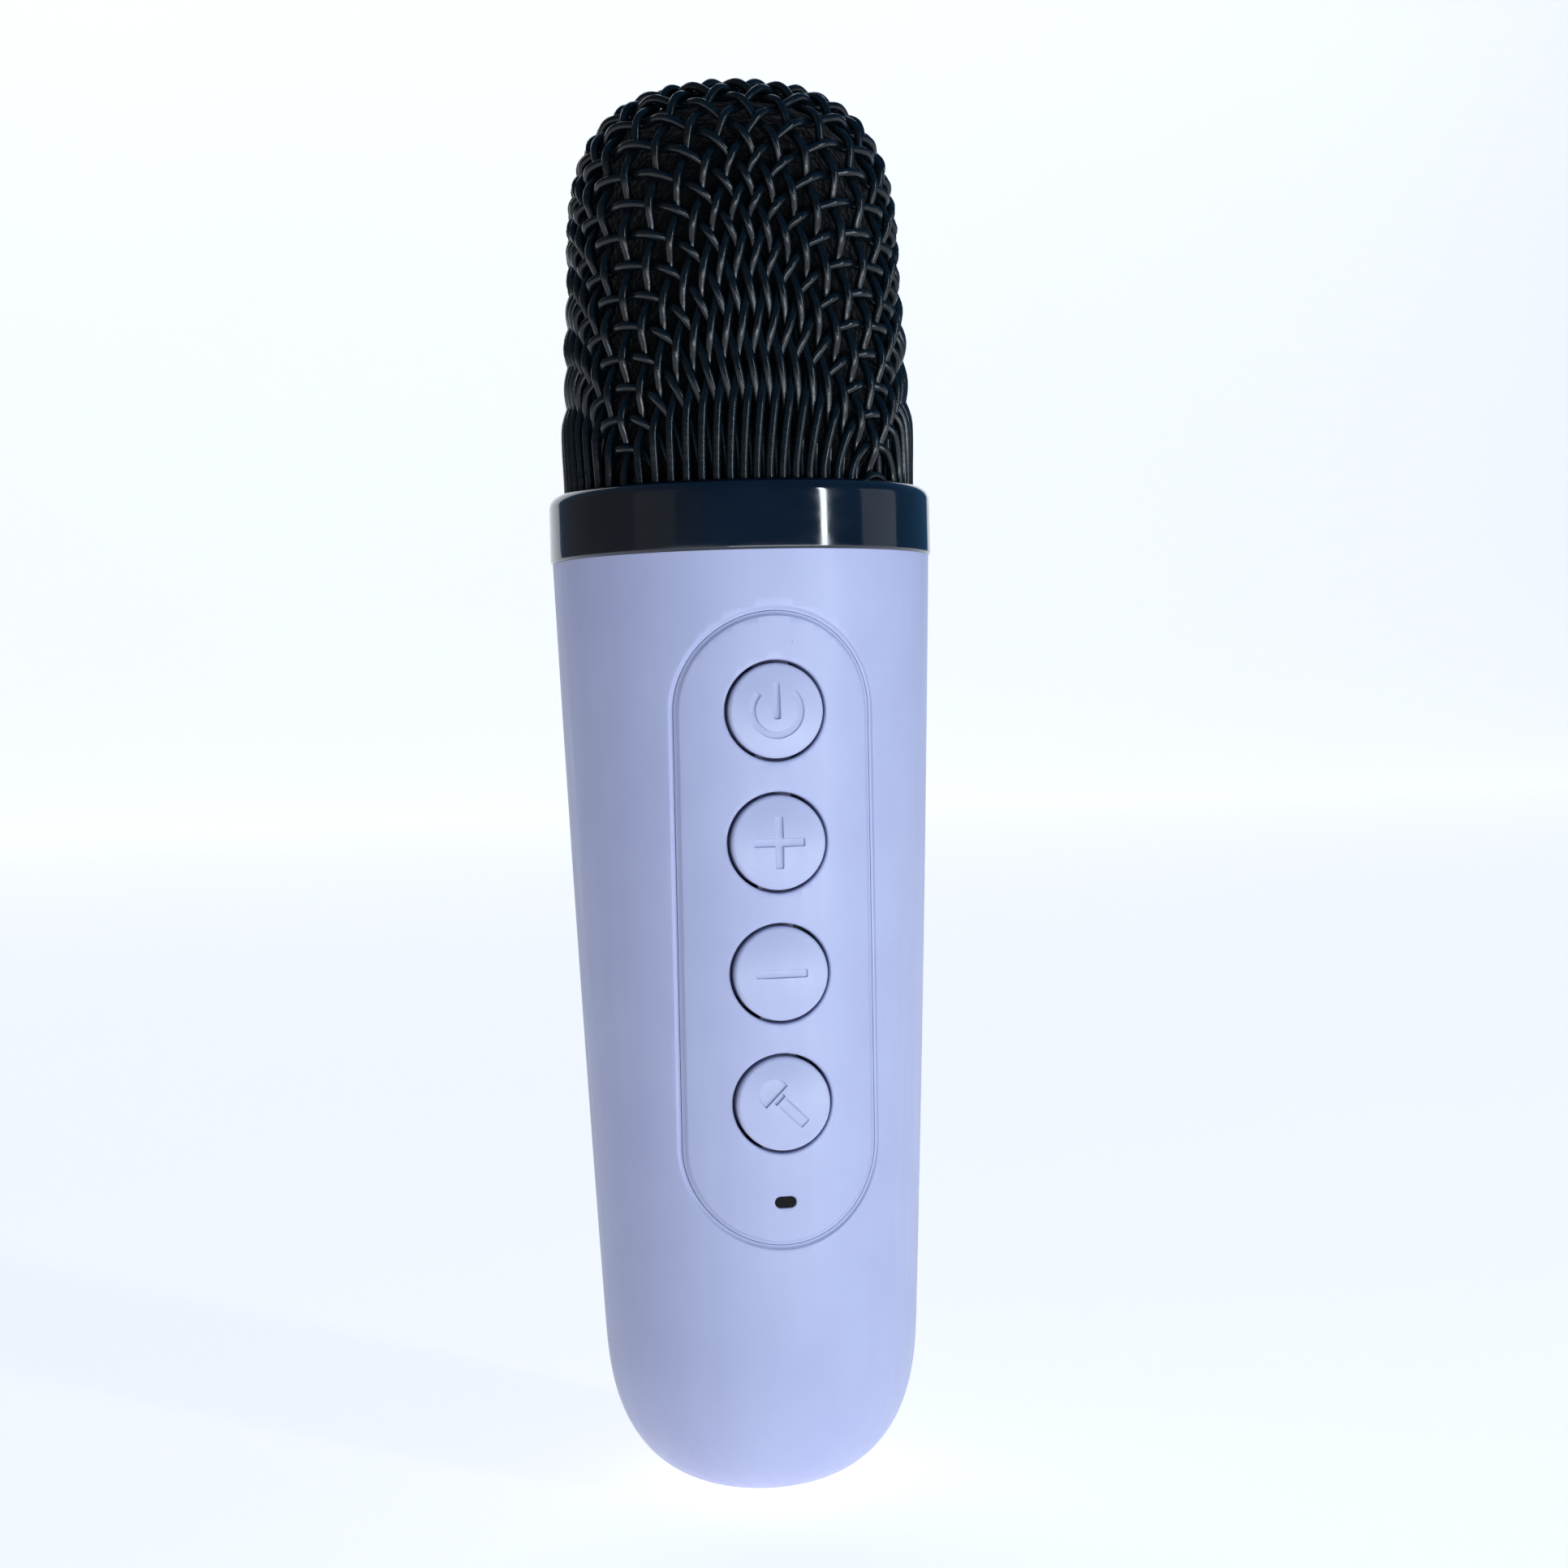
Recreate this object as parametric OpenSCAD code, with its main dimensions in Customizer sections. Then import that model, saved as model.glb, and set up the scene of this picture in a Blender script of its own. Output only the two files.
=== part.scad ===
// Hand-held wireless karaoke microphone, 128.4 mm tall, in millimetres.
// +Z runs along the microphone's axis from the domed end of the handle to the grille, -Y is the
// side with the buttons, and the origin is the lowest point of the domed end, on the axis.

/* [Handle] */
// Height of the handle from its domed end to the collar
handle_h = 85.2; // [84.8:0.1:85.6]
// Radius of the handle just under the collar
neck_r = 17.3; // [17.2:0.05:17.4]
// Radius of the handle where the domed end begins
foot_r = 14.45; // [14.3:0.05:14.6]
// Height of the domed end
dome_h = 15.5; // [15:0.1:16]
// How far the sides swell past a straight taper
swell = 0.14; // [0:0.02:0.2]
// Squareness of the domed end, 2 for an ellipse
dome_power = 2.7; // [2.5:0.05:2.8]
// Wall thickness of the two shells
wall = 1.6; // [1.5:0.1:1.7]

/* [Button panel] */
// Half the width of the panel's outline
panel_half_w = 8.6; // [8.4:0.1:8.7]
// Lowest point of the panel's outline
panel_low = 24.6; // [24.2:0.1:25]
// Highest point of the panel's outline
panel_high = 79.9; // [79.6:0.1:80]
// Half the width of the groove around the panel
groove_half_w = 0.38; // [0.3:0.02:0.45]
// Depth of the groove around the panel
groove_d = 0.3; // [0.2:0.05:0.4]

/* [Buttons] */
// Height of the power button, the top one, above the domed end
power_z = 71.3; // [71.1:0.1:71.4]
// Distance from one button to the next
button_pitch = 11.4; // [11.3:0.05:11.45]
// Radius of a button cap
button_r = 4.12; // [4:0.02:4.2]
// Radius of the hole that a button moves in
button_hole_r = 4.4; // [4.35:0.05:4.45]
// How far the middle of a button stands out of the handle
button_proud = 0.45; // [0.35:0.05:0.6]
// How far a button's face is domed
button_crown = 0.35; // [0.25:0.05:0.4]
// Depth of the symbols cut in the buttons
mark_d = 0.22; // [0.15:0.01:0.3]

/* [Head] */
// Outer radius of the collar ring
collar_r = 17.5; // [17.45:0.05:17.6]
// Height of the collar ring
collar_h = 6.2; // [6:0.1:6.4]
// Height of the whole microphone
total_h = 128.4; // [128:0.1:129]
// Radius of the grille above its swollen foot
grille_r = 15.7; // [15.6:0.05:15.8]
// Thickness of the woven grille, two wires
mesh_t = 1.6; // [1.4:0.1:1.6]

/* [Electronics] */
// Radius of the round cell
cell_r = 7; // [6.8:0.1:7.1]
// Length of the round cell
cell_l = 50; // [48:0.5:50]
// Height of a push switch's body above the circuit board
switch_h = 3.5; // [3.3:0.1:3.6]

/* [Hidden] */
$fn = 96;

shell_color = [0.68, 0.71, 0.87];
button_color = [0.66, 0.69, 0.85];
gloss_black = [0.03, 0.06, 0.09];
mesh_black = [0.05, 0.07, 0.09];
foam_black = [0.09, 0.09, 0.10];
board_green = [0.08, 0.32, 0.20];
steel = [0.72, 0.73, 0.75];
part_black = [0.10, 0.10, 0.11];

reach = 30;         // longer than any radius, for cuts that run out through the front
slack = 0.05;       // gap between two fixed pieces that slip together
panel_wall = wall + 0.3;

// Where the head's pieces stand
base_top = handle_h + 2.8;
tower_top = base_top + 12;
rib_z = handle_h - 2.8;
rib_h = 1.4;
rib_r = 14;
base_r = 15.2;
grille_foot_r = grille_r + 0.35;
grille_dome_z = total_h - 18.4;
grille_dome_r = grille_r - 0.35;
grille_power = 3.2;
capsule_r = 8;
capsule_z = tower_top + 5;
capsule_h = 5.5;

// Where the electronics stand
board_front = 8;    // distance of the board's front face in front of the axis
board_t = 1;
board_half_w = 8;
board_low = 17;
board_high = 80;
switch_half_w = 3;
switch_face = board_front + switch_h;
plunger_r = 1.7;
plunger_proud = 0.6;
boss_x = 6.2;
boss_z = [power_z - button_pitch / 2, power_z - 2.5 * button_pitch];
cell_y = 2.6;
cell_z = 16.5;
led_z = 28.4;
charge_y = 1.7;     // front face of the small board behind the charging port
charge_post = [4.2, 12.6];
port_z = 0.9;
port_l = 7.35;

// ---- outlines of the handle ----------------------------------------------------------------

// Radius of the tapered side at height z, before the domed end rounds it off
function taper_r(z) =
    let (t = (z - dome_h) / (handle_h - dome_h))
    foot_r + (neck_r - foot_r) * t + swell * 4 * t * (1 - t);

// Inner radius of the shells at height z
function inner_r(z) = taper_r(z) - wall;

// Half outline of the handle, moved inwards by d, from the axis at the bottom up to the collar
function handle_outline(d) = concat(
    [for (a = [0:6:90])
        let (z = d + (dome_h - d) * (1 - pow(cos(a), 2 / dome_power)))
        [(taper_r(z) - d) * pow(sin(a), 2 / dome_power), z]],
    [for (i = [1:8])
        let (z = dome_h + (handle_h - dome_h) * i / 8)
        [taper_r(z) - d, z]]
);

// The whole space inside the handle's outer surface moved inwards by d, closed at the collar
module handle_core(d, extra = 0) {
    rotate_extrude()
        polygon(concat(handle_outline(d),
            [[taper_r(handle_h) - d, handle_h + extra], [0, handle_h + extra]]));
}

module handle_wall() {
    difference() {
        handle_core(0);
        handle_core(wall, 1);
    }
}

// Keeps what lies on one side of the seam: side -1 is the front, 1 is the rear
module half(side) {
    intersection() {
        children();
        translate([-reach, side < 0 ? -reach : 0, -1]) cube([2 * reach, reach, total_h]);
    }
}

// Pushes a flat shape drawn in x and z out through the front, starting at distance from_d
module forward(from_d = 2, to_d = reach) {
    rotate([90, 0, 0]) translate([0, 0, from_d]) linear_extrude(to_d - from_d) children();
}

// Outline with two straight sides and round ends, grown by g on every side
module racetrack(g) {
    r = panel_half_w + g;
    low = panel_low + panel_half_w;
    high = panel_high - panel_half_w;
    translate([-r, low]) square([2 * r, high - low]);
    for (z = [low, high]) translate([0, z]) circle(r);
}

// The shallow groove that frames the panel, shared by the panel and the shell around it
module frame_groove() {
    difference() {
        forward() difference() {
            racetrack(groove_half_w);
            racetrack(-groove_half_w);
        }
        handle_core(groove_d);
    }
}

// Inner ring of the shells that holds the foot of the head
module neck_rib() {
    translate([0, 0, rib_z]) difference() {
        cylinder(h = rib_h, r = inner_r(rib_z) + 0.4);
        translate([0, 0, -1]) cylinder(h = rib_h + 2, r = rib_r);
    }
}

// Slot with round ends in the domed end, for the charging plug
module port_mouth() {
    translate([0, 0, -1]) linear_extrude(9) {
        translate([-2.9, -1.75]) square([5.8, 3.5]);
        for (x = [-2.9, 2.9]) translate([x, 0]) circle(1.75);
    }
}

// ---- casing --------------------------------------------------------------------------------

module front_shell() {
    color(shell_color) difference() {
        union() {
            half(-1) handle_wall();
            half(-1) neck_rib();
        }
        forward() racetrack(slack);
        frame_groove();
        port_mouth();
    }
}

module rear_shell() {
    tab_z = [22, 50, 74];
    tab_h = 5;
    color(shell_color) difference() {
        union() {
            half(1) handle_wall();
            half(1) neck_rib();
            // Two saddles that the cell lies in
            for (z = [26, 56]) difference() {
                intersection() {
                    translate([-reach, 4, z]) cube([2 * reach, reach, 1.5]);
                    handle_core(wall / 2);
                }
                cell_space();
            }
            // Posts for the charging board
            intersection() {
                for (x = [-1, 1]) translate([x * charge_post[0], charge_y + 1, charge_post[1]])
                    rotate([-90, 0, 0]) cylinder(h = reach, r = 1.4, $fn = 32);
                handle_core(wall / 2);
            }
            // Tongues that line the rear shell up with the front one
            for (side = [-1, 1], z = tab_z) {
                tongue_r = inner_r(z) - 0.1;
                translate([side > 0 ? tongue_r - 1 : -tongue_r, -2, z]) cube([1, 4, tab_h]);
                translate([side > 0 ? tongue_r - 1 : -tongue_r - 0.6, 0.5, z]) cube([1.6, 3, tab_h]);
            }
        }
        port_mouth();
        for (x = [-1, 1]) translate([x * charge_post[0], charge_y, charge_post[1]])
            rotate([-90, 0, 0]) cylinder(h = 5, r = 0.65, $fn = 24);
    }
}

// The panel is a separate plate set flush in the front shell, and its rim lies behind the shell
module button_panel() {
    rim_t = 1;
    color(shell_color) difference() {
        union() {
            intersection() {
                difference() {
                    handle_core(0);
                    handle_core(panel_wall);
                }
                forward() racetrack(0);
            }
            intersection() {
                difference() {
                    handle_core(wall + slack);
                    handle_core(wall + rim_t);
                }
                forward() difference() {
                    racetrack(0.9);
                    racetrack(-1.4);
                }
            }
            // Bosses that the circuit board is screwed to
            intersection() {
                for (x = [-1, 1], z = boss_z)
                    forward(board_front, reach) translate([x * boss_x, z]) circle(1.5, $fn = 32);
                handle_core(wall / 2);
            }
        }
        frame_groove();
        for (i = [0:3]) forward() translate([0, button_z(i)]) circle(button_hole_r);
        forward() slot_outline(slack);
        for (x = [-1, 1], z = boss_z)
            forward(board_front - 1, board_front + 3.2)
                translate([x * boss_x, z]) circle(0.65, $fn = 24);
    }
}

module collar_ring() {
    round_r = 1.2;
    chamfer = 0.25;
    top = handle_h + collar_h;
    color(gloss_black) rotate_extrude() polygon(concat(
        [[base_r + 0.1, handle_h], [collar_r - chamfer, handle_h], [collar_r, handle_h + chamfer]],
        [for (a = [0:15:90])
            [collar_r - round_r + round_r * cos(a), top - round_r + round_r * sin(a)]],
        [[grille_foot_r + 0.1, top], [grille_foot_r + 0.1, base_top], [base_r + 0.1, base_top]]
    ));
}

// ---- head ----------------------------------------------------------------------------------

module head_base() {
    foot = rib_z - slack;
    color(part_black) rotate_extrude() polygon([
        [12.2, foot - 1.3], [base_r, foot - 1.3], [base_r, foot], [rib_r - 0.1, foot],
        [rib_r - 0.1, rib_z + rib_h + slack], [base_r, rib_z + rib_h + slack], [base_r, base_top],
        [7.5, base_top], [7.5, tower_top], [5.2, tower_top], [5.2, base_top - 2],
        [12.2, base_top - 2]
    ]);
}

// Swollen foot of the grille: how far it stands out past grille_r, and the height above base_top
grille_swell = [[0.35, slack], [0.35, 4.1], [0.57, 7.6], [0.5, 9.1], [0.15, 12], [0.1, 17]];

// Half outline of the grille's outer surface moved inwards by d, foot to crown
function grille_outline(d) = concat(
    [for (p = grille_swell) [grille_r + p[0] - d, base_top + p[1]]],
    [for (a = [0:6:90])
        [(grille_dome_r - d) * pow(cos(a), 2 / grille_power),
         grille_dome_z + (total_h - grille_dome_z - d) * pow(sin(a), 2 / grille_power)]]
);

// The woven wire is a plain wall of its own thickness here
module grille_mesh() {
    inner = grille_outline(mesh_t);
    color(mesh_black) rotate_extrude() polygon(concat(
        grille_outline(0), [for (i = [len(inner) - 1:-1:0]) inner[i]]
    ));
}

module grille_rim() {
    color(steel) translate([0, 0, base_top]) difference() {
        cylinder(h = 3.4, r = grille_foot_r - mesh_t - slack);
        translate([0, 0, -1]) cylinder(h = 6, r = grille_foot_r - mesh_t - 0.7);
    }
}

// Half outline of the foam's surface of radius r, up to the height of its crown
function foam_outline(r, crown) = concat(
    [[r - 0.7, base_top], [r - 0.7, base_top + 4], [r, base_top + 6]],
    [for (a = [0:10:90])
        [r * pow(cos(a), 2 / grille_power),
         grille_dome_z + (crown - grille_dome_z) * pow(sin(a), 2 / grille_power)]]
);

module foam_liner() {
    foam_r = grille_dome_r - mesh_t - 0.25;
    crown = total_h - mesh_t - 0.4;
    foam_t = 2;
    inner = foam_outline(foam_r - foam_t, crown - foam_t);
    color(foam_black) rotate_extrude() polygon(concat(
        foam_outline(foam_r, crown), [for (i = [len(inner) - 1:-1:0]) inner[i]]
    ));
}

module capsule_boot() {
    color(part_black) rotate_extrude() polygon([
        [4.5, tower_top], [9.6, tower_top], [9.6, capsule_z + capsule_h + 0.5],
        [capsule_r + 0.02, capsule_z + capsule_h + 0.5], [capsule_r + 0.02, capsule_z],
        [4.5, capsule_z]
    ]);
}

module capsule() {
    color(steel) difference() {
        translate([0, 0, capsule_z]) cylinder(h = capsule_h, r = capsule_r);
        for (i = [0:6]) rotate(i * 60) translate([i < 6 ? 4 : 0, 0, capsule_z + capsule_h - 1])
            cylinder(h = 2, r = 0.6, $fn = 24);
    }
}

module capsule_felt() {
    color(foam_black) translate([0, 0, capsule_z + capsule_h]) cylinder(h = 0.4, r = 7.2);
}

// ---- leads ---------------------------------------------------------------------------------

// Point at t in 0..1 on the smooth curve from p[i] to p[i + 1]
function bend(p, i, t) =
    let (n = len(p) - 1, a = p[max(i - 1, 0)], b = p[i], c = p[i + 1], e = p[min(i + 2, n)])
    0.5 * (2 * b + (c - a) * t + (2 * a - 5 * b + 4 * c - e) * t * t
        + (3 * b - a - 3 * c + e) * t * t * t);

// The whole smooth curve through p, with 3 steps between two points
function curve(p) = concat(
    [for (i = [0:len(p) - 2], k = [0:2]) bend(p, i, k / 3)], [p[len(p) - 1]]
);

// Unit direction of the curve at its point i
function heading(c, i) =
    let (v = c[min(i + 1, len(c) - 1)] - c[max(i - 1, 0)]) v / norm(v);

// Round insulated lead along points of y and z, all at one x
module lead(x, route, r = 0.5) {
    sides = 8;
    c = curve(route);
    rings = [for (i = [0:len(c) - 1]) let (h = heading(c, i)) [for (k = [0:sides - 1])
        let (a = 360 * k / sides, u = r * cos(a), v = r * sin(a))
        [x + u, c[i][0] - h[1] * v, c[i][1] + h[0] * v]]];
    flat = [for (ring = rings) for (p = ring) p];
    last = (len(c) - 1) * sides;
    polyhedron(flat, concat(
        [[for (k = [0:sides - 1]) k]],
        [for (i = [0:len(c) - 2], k = [0:sides - 1])
            let (a = i * sides + k, b = i * sides + (k + 1) % sides)
            [a, a + sides, b + sides, b]],
        [[for (k = [sides - 1:-1:0]) last + k]]
    ));
}

// Flat ribbon of the given width, bent along points of y and z
module ribbon(route, width, t = 0.4) {
    c = curve(route);
    side = function (s) [for (i = [0:len(c) - 1])
        let (h = heading(c, i)) c[i] + s * t / 2 * [-h[1], h[0]]];
    back = side(-1);
    rotate([90, 0, 90]) translate([0, 0, -width / 2]) linear_extrude(width)
        polygon(concat(side(1), [for (i = [len(back) - 1:-1:0]) back[i]]));
}

board_back = -(board_front - board_t);

module capsule_leads() {
    route = [[0, capsule_z], [0, 102], [0, 96], [0, 90], [-1, 86], [-3.5, 81.5], [-5.6, 79],
        [-6.5, 78.5], [board_back, 78.5]];
    for (x = [-1.3, 1.3]) color(x < 0 ? "black" : "firebrick") lead(x, route);
}

module battery_positive_lead() {
    color("firebrick") lead(2.5, [[cell_y, cell_z + cell_l], [cell_y, 68], [1.8, 69.6],
        [-1, 70.8], [-5, 71], [board_back, 71]]);
}

module battery_negative_lead() {
    color("black") lead(-1.5, [[5, cell_z], [5, 15.8], [4.6, 14.4], [3.6, 13.4], [3.1, 13.3],
        [charge_y + 1, 13.3]]);
}

module board_ribbon() {
    color("white") ribbon([[charge_y, 13.2], [0.8, 13.2], [-1.6, 13.4], [-4.2, 14.8],
        [-5.6, 17.2], [-6.1, 19], [-6.5, 19.6], [board_back, 19.7]], 5);
}

// ---- circuit board -------------------------------------------------------------------------

// A block on the board: x and z of its middle, its width and height, and how far it stands off
// the front face (side 1) or the back face (side -1)
module on_board(x, z, w, h, stands, side) {
    y = side > 0 ? -board_front - stands : board_back;
    translate([x - w / 2, y, z - h / 2]) cube([w, stands, h]);
}

module circuit_board() {
    color(board_green) difference() {
        translate([-board_half_w, -board_front, board_low])
            cube([2 * board_half_w, board_t, board_high - board_low]);
        for (x = [-1, 1], z = boss_z) forward(board_front - 2, board_front + 1)
            translate([x * boss_x, z]) circle(0.85, $fn = 24);
    }
}

// A screw seen from its head, pointing along +Z from the seat at z = 0
module small_screw(length) {
    difference() {
        union() {
            translate([0, 0, -0.9]) cylinder(h = 0.9, r = 1.4, $fn = 32);
            cylinder(h = length, r = 0.6, $fn = 24);
        }
        for (a = [0, 90]) rotate(a) translate([-0.9, -0.2, -1]) cube([1.8, 0.4, 0.5]);
    }
}

module board_screws() {
    color(steel) for (x = [-1, 1], z = boss_z)
        translate([x * boss_x, board_back, z]) rotate([90, 0, 0]) small_screw(3.8);
}

module main_chip() {
    color(part_black) on_board(0, 32, 5, 5, 0.9, -1);
}

module radio_module() {
    color(steel) on_board(0, 50, 10, 12, 1.2, -1);
}

module crystal() {
    color(steel) on_board(0, 37.5, 3.2, 2.5, 0.8, -1);
}

module antenna() {
    color("ivory") on_board(5.5, 77, 2, 5, 1.2, -1);
}

module status_led() {
    color("ivory") on_board(0, led_z, 1.6, 0.8, 0.8, 1);
}

// Outline of the indicator's slot, grown by g
module slot_outline(g) {
    translate([-0.45, led_z - 0.5 - g]) square([0.9, 1 + 2 * g]);
    for (x = [-0.45, 0.45]) translate([x, led_z]) circle(0.5 + g, $fn = 32);
}

module light_pipe() {
    back = inner_r(led_z) - 0.3 - slack;
    color([0.12, 0.12, 0.14]) intersection() {
        union() {
            forward(board_front + 1) slot_outline(0);
            translate([-1.6, -back + 0.2, led_z - 1.1]) cube([3.2, 0.8, 2.2]);
        }
        handle_core(0.12);
    }
}

// ---- buttons and switches ------------------------------------------------------------------

// Height of button i, counted down from the power button
function button_z(i) = power_z - i * button_pitch;

// Half outline of button i: radius, and distance in front of the axis
function button_outline(i, wing_back) =
    let (edge = 0.3, top = taper_r(button_z(i)) + button_proud, rim = top - button_crown)
    concat(
        [[0, switch_face + plunger_proud], [1.6, switch_face + plunger_proud], [1.6, wing_back],
         [button_r, wing_back]],
        [for (a = [0:22.5:90]) [button_r - edge + edge * cos(a), rim - edge + edge * sin(a)]],
        [for (k = [4:-1:0])
            [(button_r - edge) * k / 5, top - button_crown * pow(k / 5, 2)]]
    );

// A button cap with two wings that hold it behind the panel and a stem that presses the switch
module button(i) {
    wing_reach = 5.35;
    wing_half_w = 1.6;
    wing_t = 0.7;
    play = 0.2;
    z = button_z(i);
    behind = inner_r(z - wing_reach) + wall - panel_wall;
    wing_front = sqrt(pow(behind, 2) - pow(wing_half_w, 2)) - play;
    color(button_color) difference() {
        union() {
            translate([0, 0, z]) rotate([90, 0, 0])
                rotate_extrude() polygon(button_outline(i, wing_front - wing_t));
            translate([-wing_half_w, -wing_front, z - wing_reach])
                cube([2 * wing_half_w, wing_t, 2 * wing_reach]);
        }
        forward(taper_r(z) + button_proud - mark_d - 0.1) translate([0, z]) children();
    }
}

module bar(w, h) {
    square([w, h], center = true);
}

// Open ring with a stroke at its gap
module power_mark() {
    difference() {
        circle(2.42);
        circle(1.86);
        polygon([[0, 0], [-3, 3], [3, 3]]);
    }
    translate([0, 0.83]) bar(0.6, 3.1);
}

// Round head, neck and grip of a small microphone, tilted
module voice_mark() {
    rotate(45) {
        difference() {
            translate([0, 1.2]) circle(1.35);
            translate([-2, -0.85]) square([4, 1.8]);
        }
        translate([0, 0.6]) bar(1.1, 0.3);
        translate([0, -1.15]) bar(0.95, 2.85);
    }
}

module power_button() button(0) power_mark();

module volume_up_button() {
    button(1) {
        bar(4.5, 0.7);
        bar(0.7, 4.5);
    }
}

module volume_down_button() button(2) bar(4.5, 0.7);

module voice_button() button(3) voice_mark();

module push_switch(i) {
    color(part_black) difference() {
        on_board(0, button_z(i), 2 * switch_half_w, 2 * switch_half_w, switch_h, 1);
        forward(switch_face - 1.8, switch_face + 1)
            translate([0, button_z(i)]) circle(plunger_r + 0.08, $fn = 48);
    }
}

module plunger(i) {
    color("ivory") forward(switch_face - 1.1, switch_face + plunger_proud)
        translate([0, button_z(i)]) circle(plunger_r, $fn = 48);
}

module power_switch() push_switch(0);
module volume_up_switch() push_switch(1);
module volume_down_switch() push_switch(2);
module voice_switch() push_switch(3);
module power_plunger() plunger(0);
module volume_up_plunger() plunger(1);
module volume_down_plunger() plunger(2);
module voice_plunger() plunger(3);

// ---- power ---------------------------------------------------------------------------------

module cell_space() {
    translate([0, cell_y, cell_z - 1]) cylinder(h = cell_l + 2, r = cell_r + slack);
}

module battery_cell() {
    color([0.16, 0.36, 0.62]) translate([0, cell_y, cell_z]) cylinder(h = cell_l, r = cell_r);
}

module battery_pad() {
    front = board_front - board_t - 1.2;
    color(foam_black) translate([-4, -front, 44]) cube([8, front - (cell_r - cell_y), 12]);
}

module charge_board() {
    color(board_green) difference() {
        translate([-5.8, charge_y, 3.4]) cube([11.6, 1, 11.6]);
        for (x = [-1, 1]) translate([x * charge_post[0], 0, charge_post[1]])
            rotate([-90, 0, 0]) cylinder(h = 5, r = 0.85, $fn = 24);
    }
}

module charge_screws() {
    color(steel) for (x = [-1, 1]) translate([x * charge_post[0], charge_y, charge_post[1]])
        rotate([-90, 0, 0]) small_screw(4.2);
}

module charge_chip() {
    color(part_black) translate([-1.5, charge_y - 0.8, 9.2]) cube([3, 0.8, 2]);
}

// Outline of the port across its mouth: half width w, half height h, ends fully round
module port_outline(w, h) {
    translate([h - w, -h]) square([2 * (w - h), 2 * h]);
    for (x = [h - w, w - h]) translate([x, 0]) circle(h, $fn = 48);
}

module usb_port() {
    color(steel) translate([0, 0, port_z]) difference() {
        linear_extrude(port_l) port_outline(4.47, 1.63);
        translate([0, 0, -1]) linear_extrude(port_l) port_outline(4.17, 1.28);
    }
}

module usb_tongue() {
    color(part_black) translate([-3.34, -0.35, port_z + 0.8]) cube([6.68, 0.7, port_l - 1.8]);
}

front_shell();
rear_shell();
button_panel();
collar_ring();
head_base();
grille_mesh();
grille_rim();
foam_liner();
capsule_boot();
capsule();
capsule_felt();
capsule_leads();
circuit_board();
board_screws();
main_chip();
radio_module();
crystal();
antenna();
status_led();
light_pipe();
power_button();
volume_up_button();
volume_down_button();
voice_button();
power_switch();
volume_up_switch();
volume_down_switch();
voice_switch();
power_plunger();
volume_up_plunger();
volume_down_plunger();
voice_plunger();
battery_cell();
battery_pad();
battery_positive_lead();
battery_negative_lead();
charge_board();
charge_screws();
charge_chip();
usb_port();
usb_tongue();
board_ribbon();
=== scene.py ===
"""Finished looks of a hand-held wireless karaoke microphone, built around its CAD frame.

Lengths in the classes are millimetres, as in the design; meshes are made in metres. +Z runs along
the microphone's axis from the domed end of the handle to the grille, and -Y is the button side.
"""

import logging
import math
from collections.abc import Callable, Sequence
from dataclasses import dataclass, field
from enum import Enum

import bmesh
import bpy
import numpy as np
from mathutils import Matrix, Vector, noise


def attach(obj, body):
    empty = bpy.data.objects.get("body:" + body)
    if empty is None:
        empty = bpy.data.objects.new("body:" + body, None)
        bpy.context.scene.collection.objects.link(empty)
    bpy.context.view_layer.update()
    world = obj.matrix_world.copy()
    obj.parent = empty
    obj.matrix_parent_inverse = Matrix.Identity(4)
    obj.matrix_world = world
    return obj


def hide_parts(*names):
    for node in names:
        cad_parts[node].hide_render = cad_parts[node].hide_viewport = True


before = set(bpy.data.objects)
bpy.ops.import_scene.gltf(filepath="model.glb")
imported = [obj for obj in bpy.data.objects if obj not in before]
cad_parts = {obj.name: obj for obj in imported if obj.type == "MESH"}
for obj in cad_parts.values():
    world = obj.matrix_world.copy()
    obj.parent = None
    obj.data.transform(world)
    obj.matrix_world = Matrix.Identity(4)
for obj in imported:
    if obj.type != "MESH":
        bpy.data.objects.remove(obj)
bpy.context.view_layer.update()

log = logging.getLogger("microphone")
MM = 0.001
MICROPHONE = "microphone"
SMOOTH_ANGLE = math.radians(32)
MERGE_GAP = 1e-6

Point2 = tuple[float, float]
Ring = np.ndarray
Color = tuple[float, float, float]


# ---- modelling ---------------------------------------------------------------------------------


def deselect_all() -> None:
    """Clears the selection and leaves edit mode."""
    if bpy.context.object and bpy.context.object.mode != "OBJECT":
        bpy.ops.object.mode_set(mode="OBJECT")
    bpy.ops.object.select_all(action="DESELECT")


def make_active(piece: bpy.types.Object) -> None:
    """Selects one object alone and makes it active."""
    deselect_all()
    piece.select_set(True)
    bpy.context.view_layer.objects.active = piece


def edit_whole(piece: bpy.types.Object) -> None:
    """Opens a piece in edit mode with all of it selected."""
    make_active(piece)
    bpy.ops.object.mode_set(mode="EDIT")
    bpy.ops.mesh.select_all(action="SELECT")


def clean_up(piece: bpy.types.Object) -> None:
    """Merges doubled points and turns every face outwards."""
    edit_whole(piece)
    bpy.ops.mesh.remove_doubles(threshold=MERGE_GAP)
    bpy.ops.mesh.dissolve_degenerate(threshold=MERGE_GAP)
    bpy.ops.mesh.select_all(action="SELECT")
    bpy.ops.mesh.normals_make_consistent(inside=False)
    bpy.ops.object.mode_set(mode="OBJECT")


def smooth(piece: bpy.types.Object, angle: float = SMOOTH_ANGLE) -> None:
    """Shades a piece smooth across edges flatter than the angle."""
    make_active(piece)
    bpy.ops.object.shade_smooth_by_angle(angle=angle)


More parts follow.
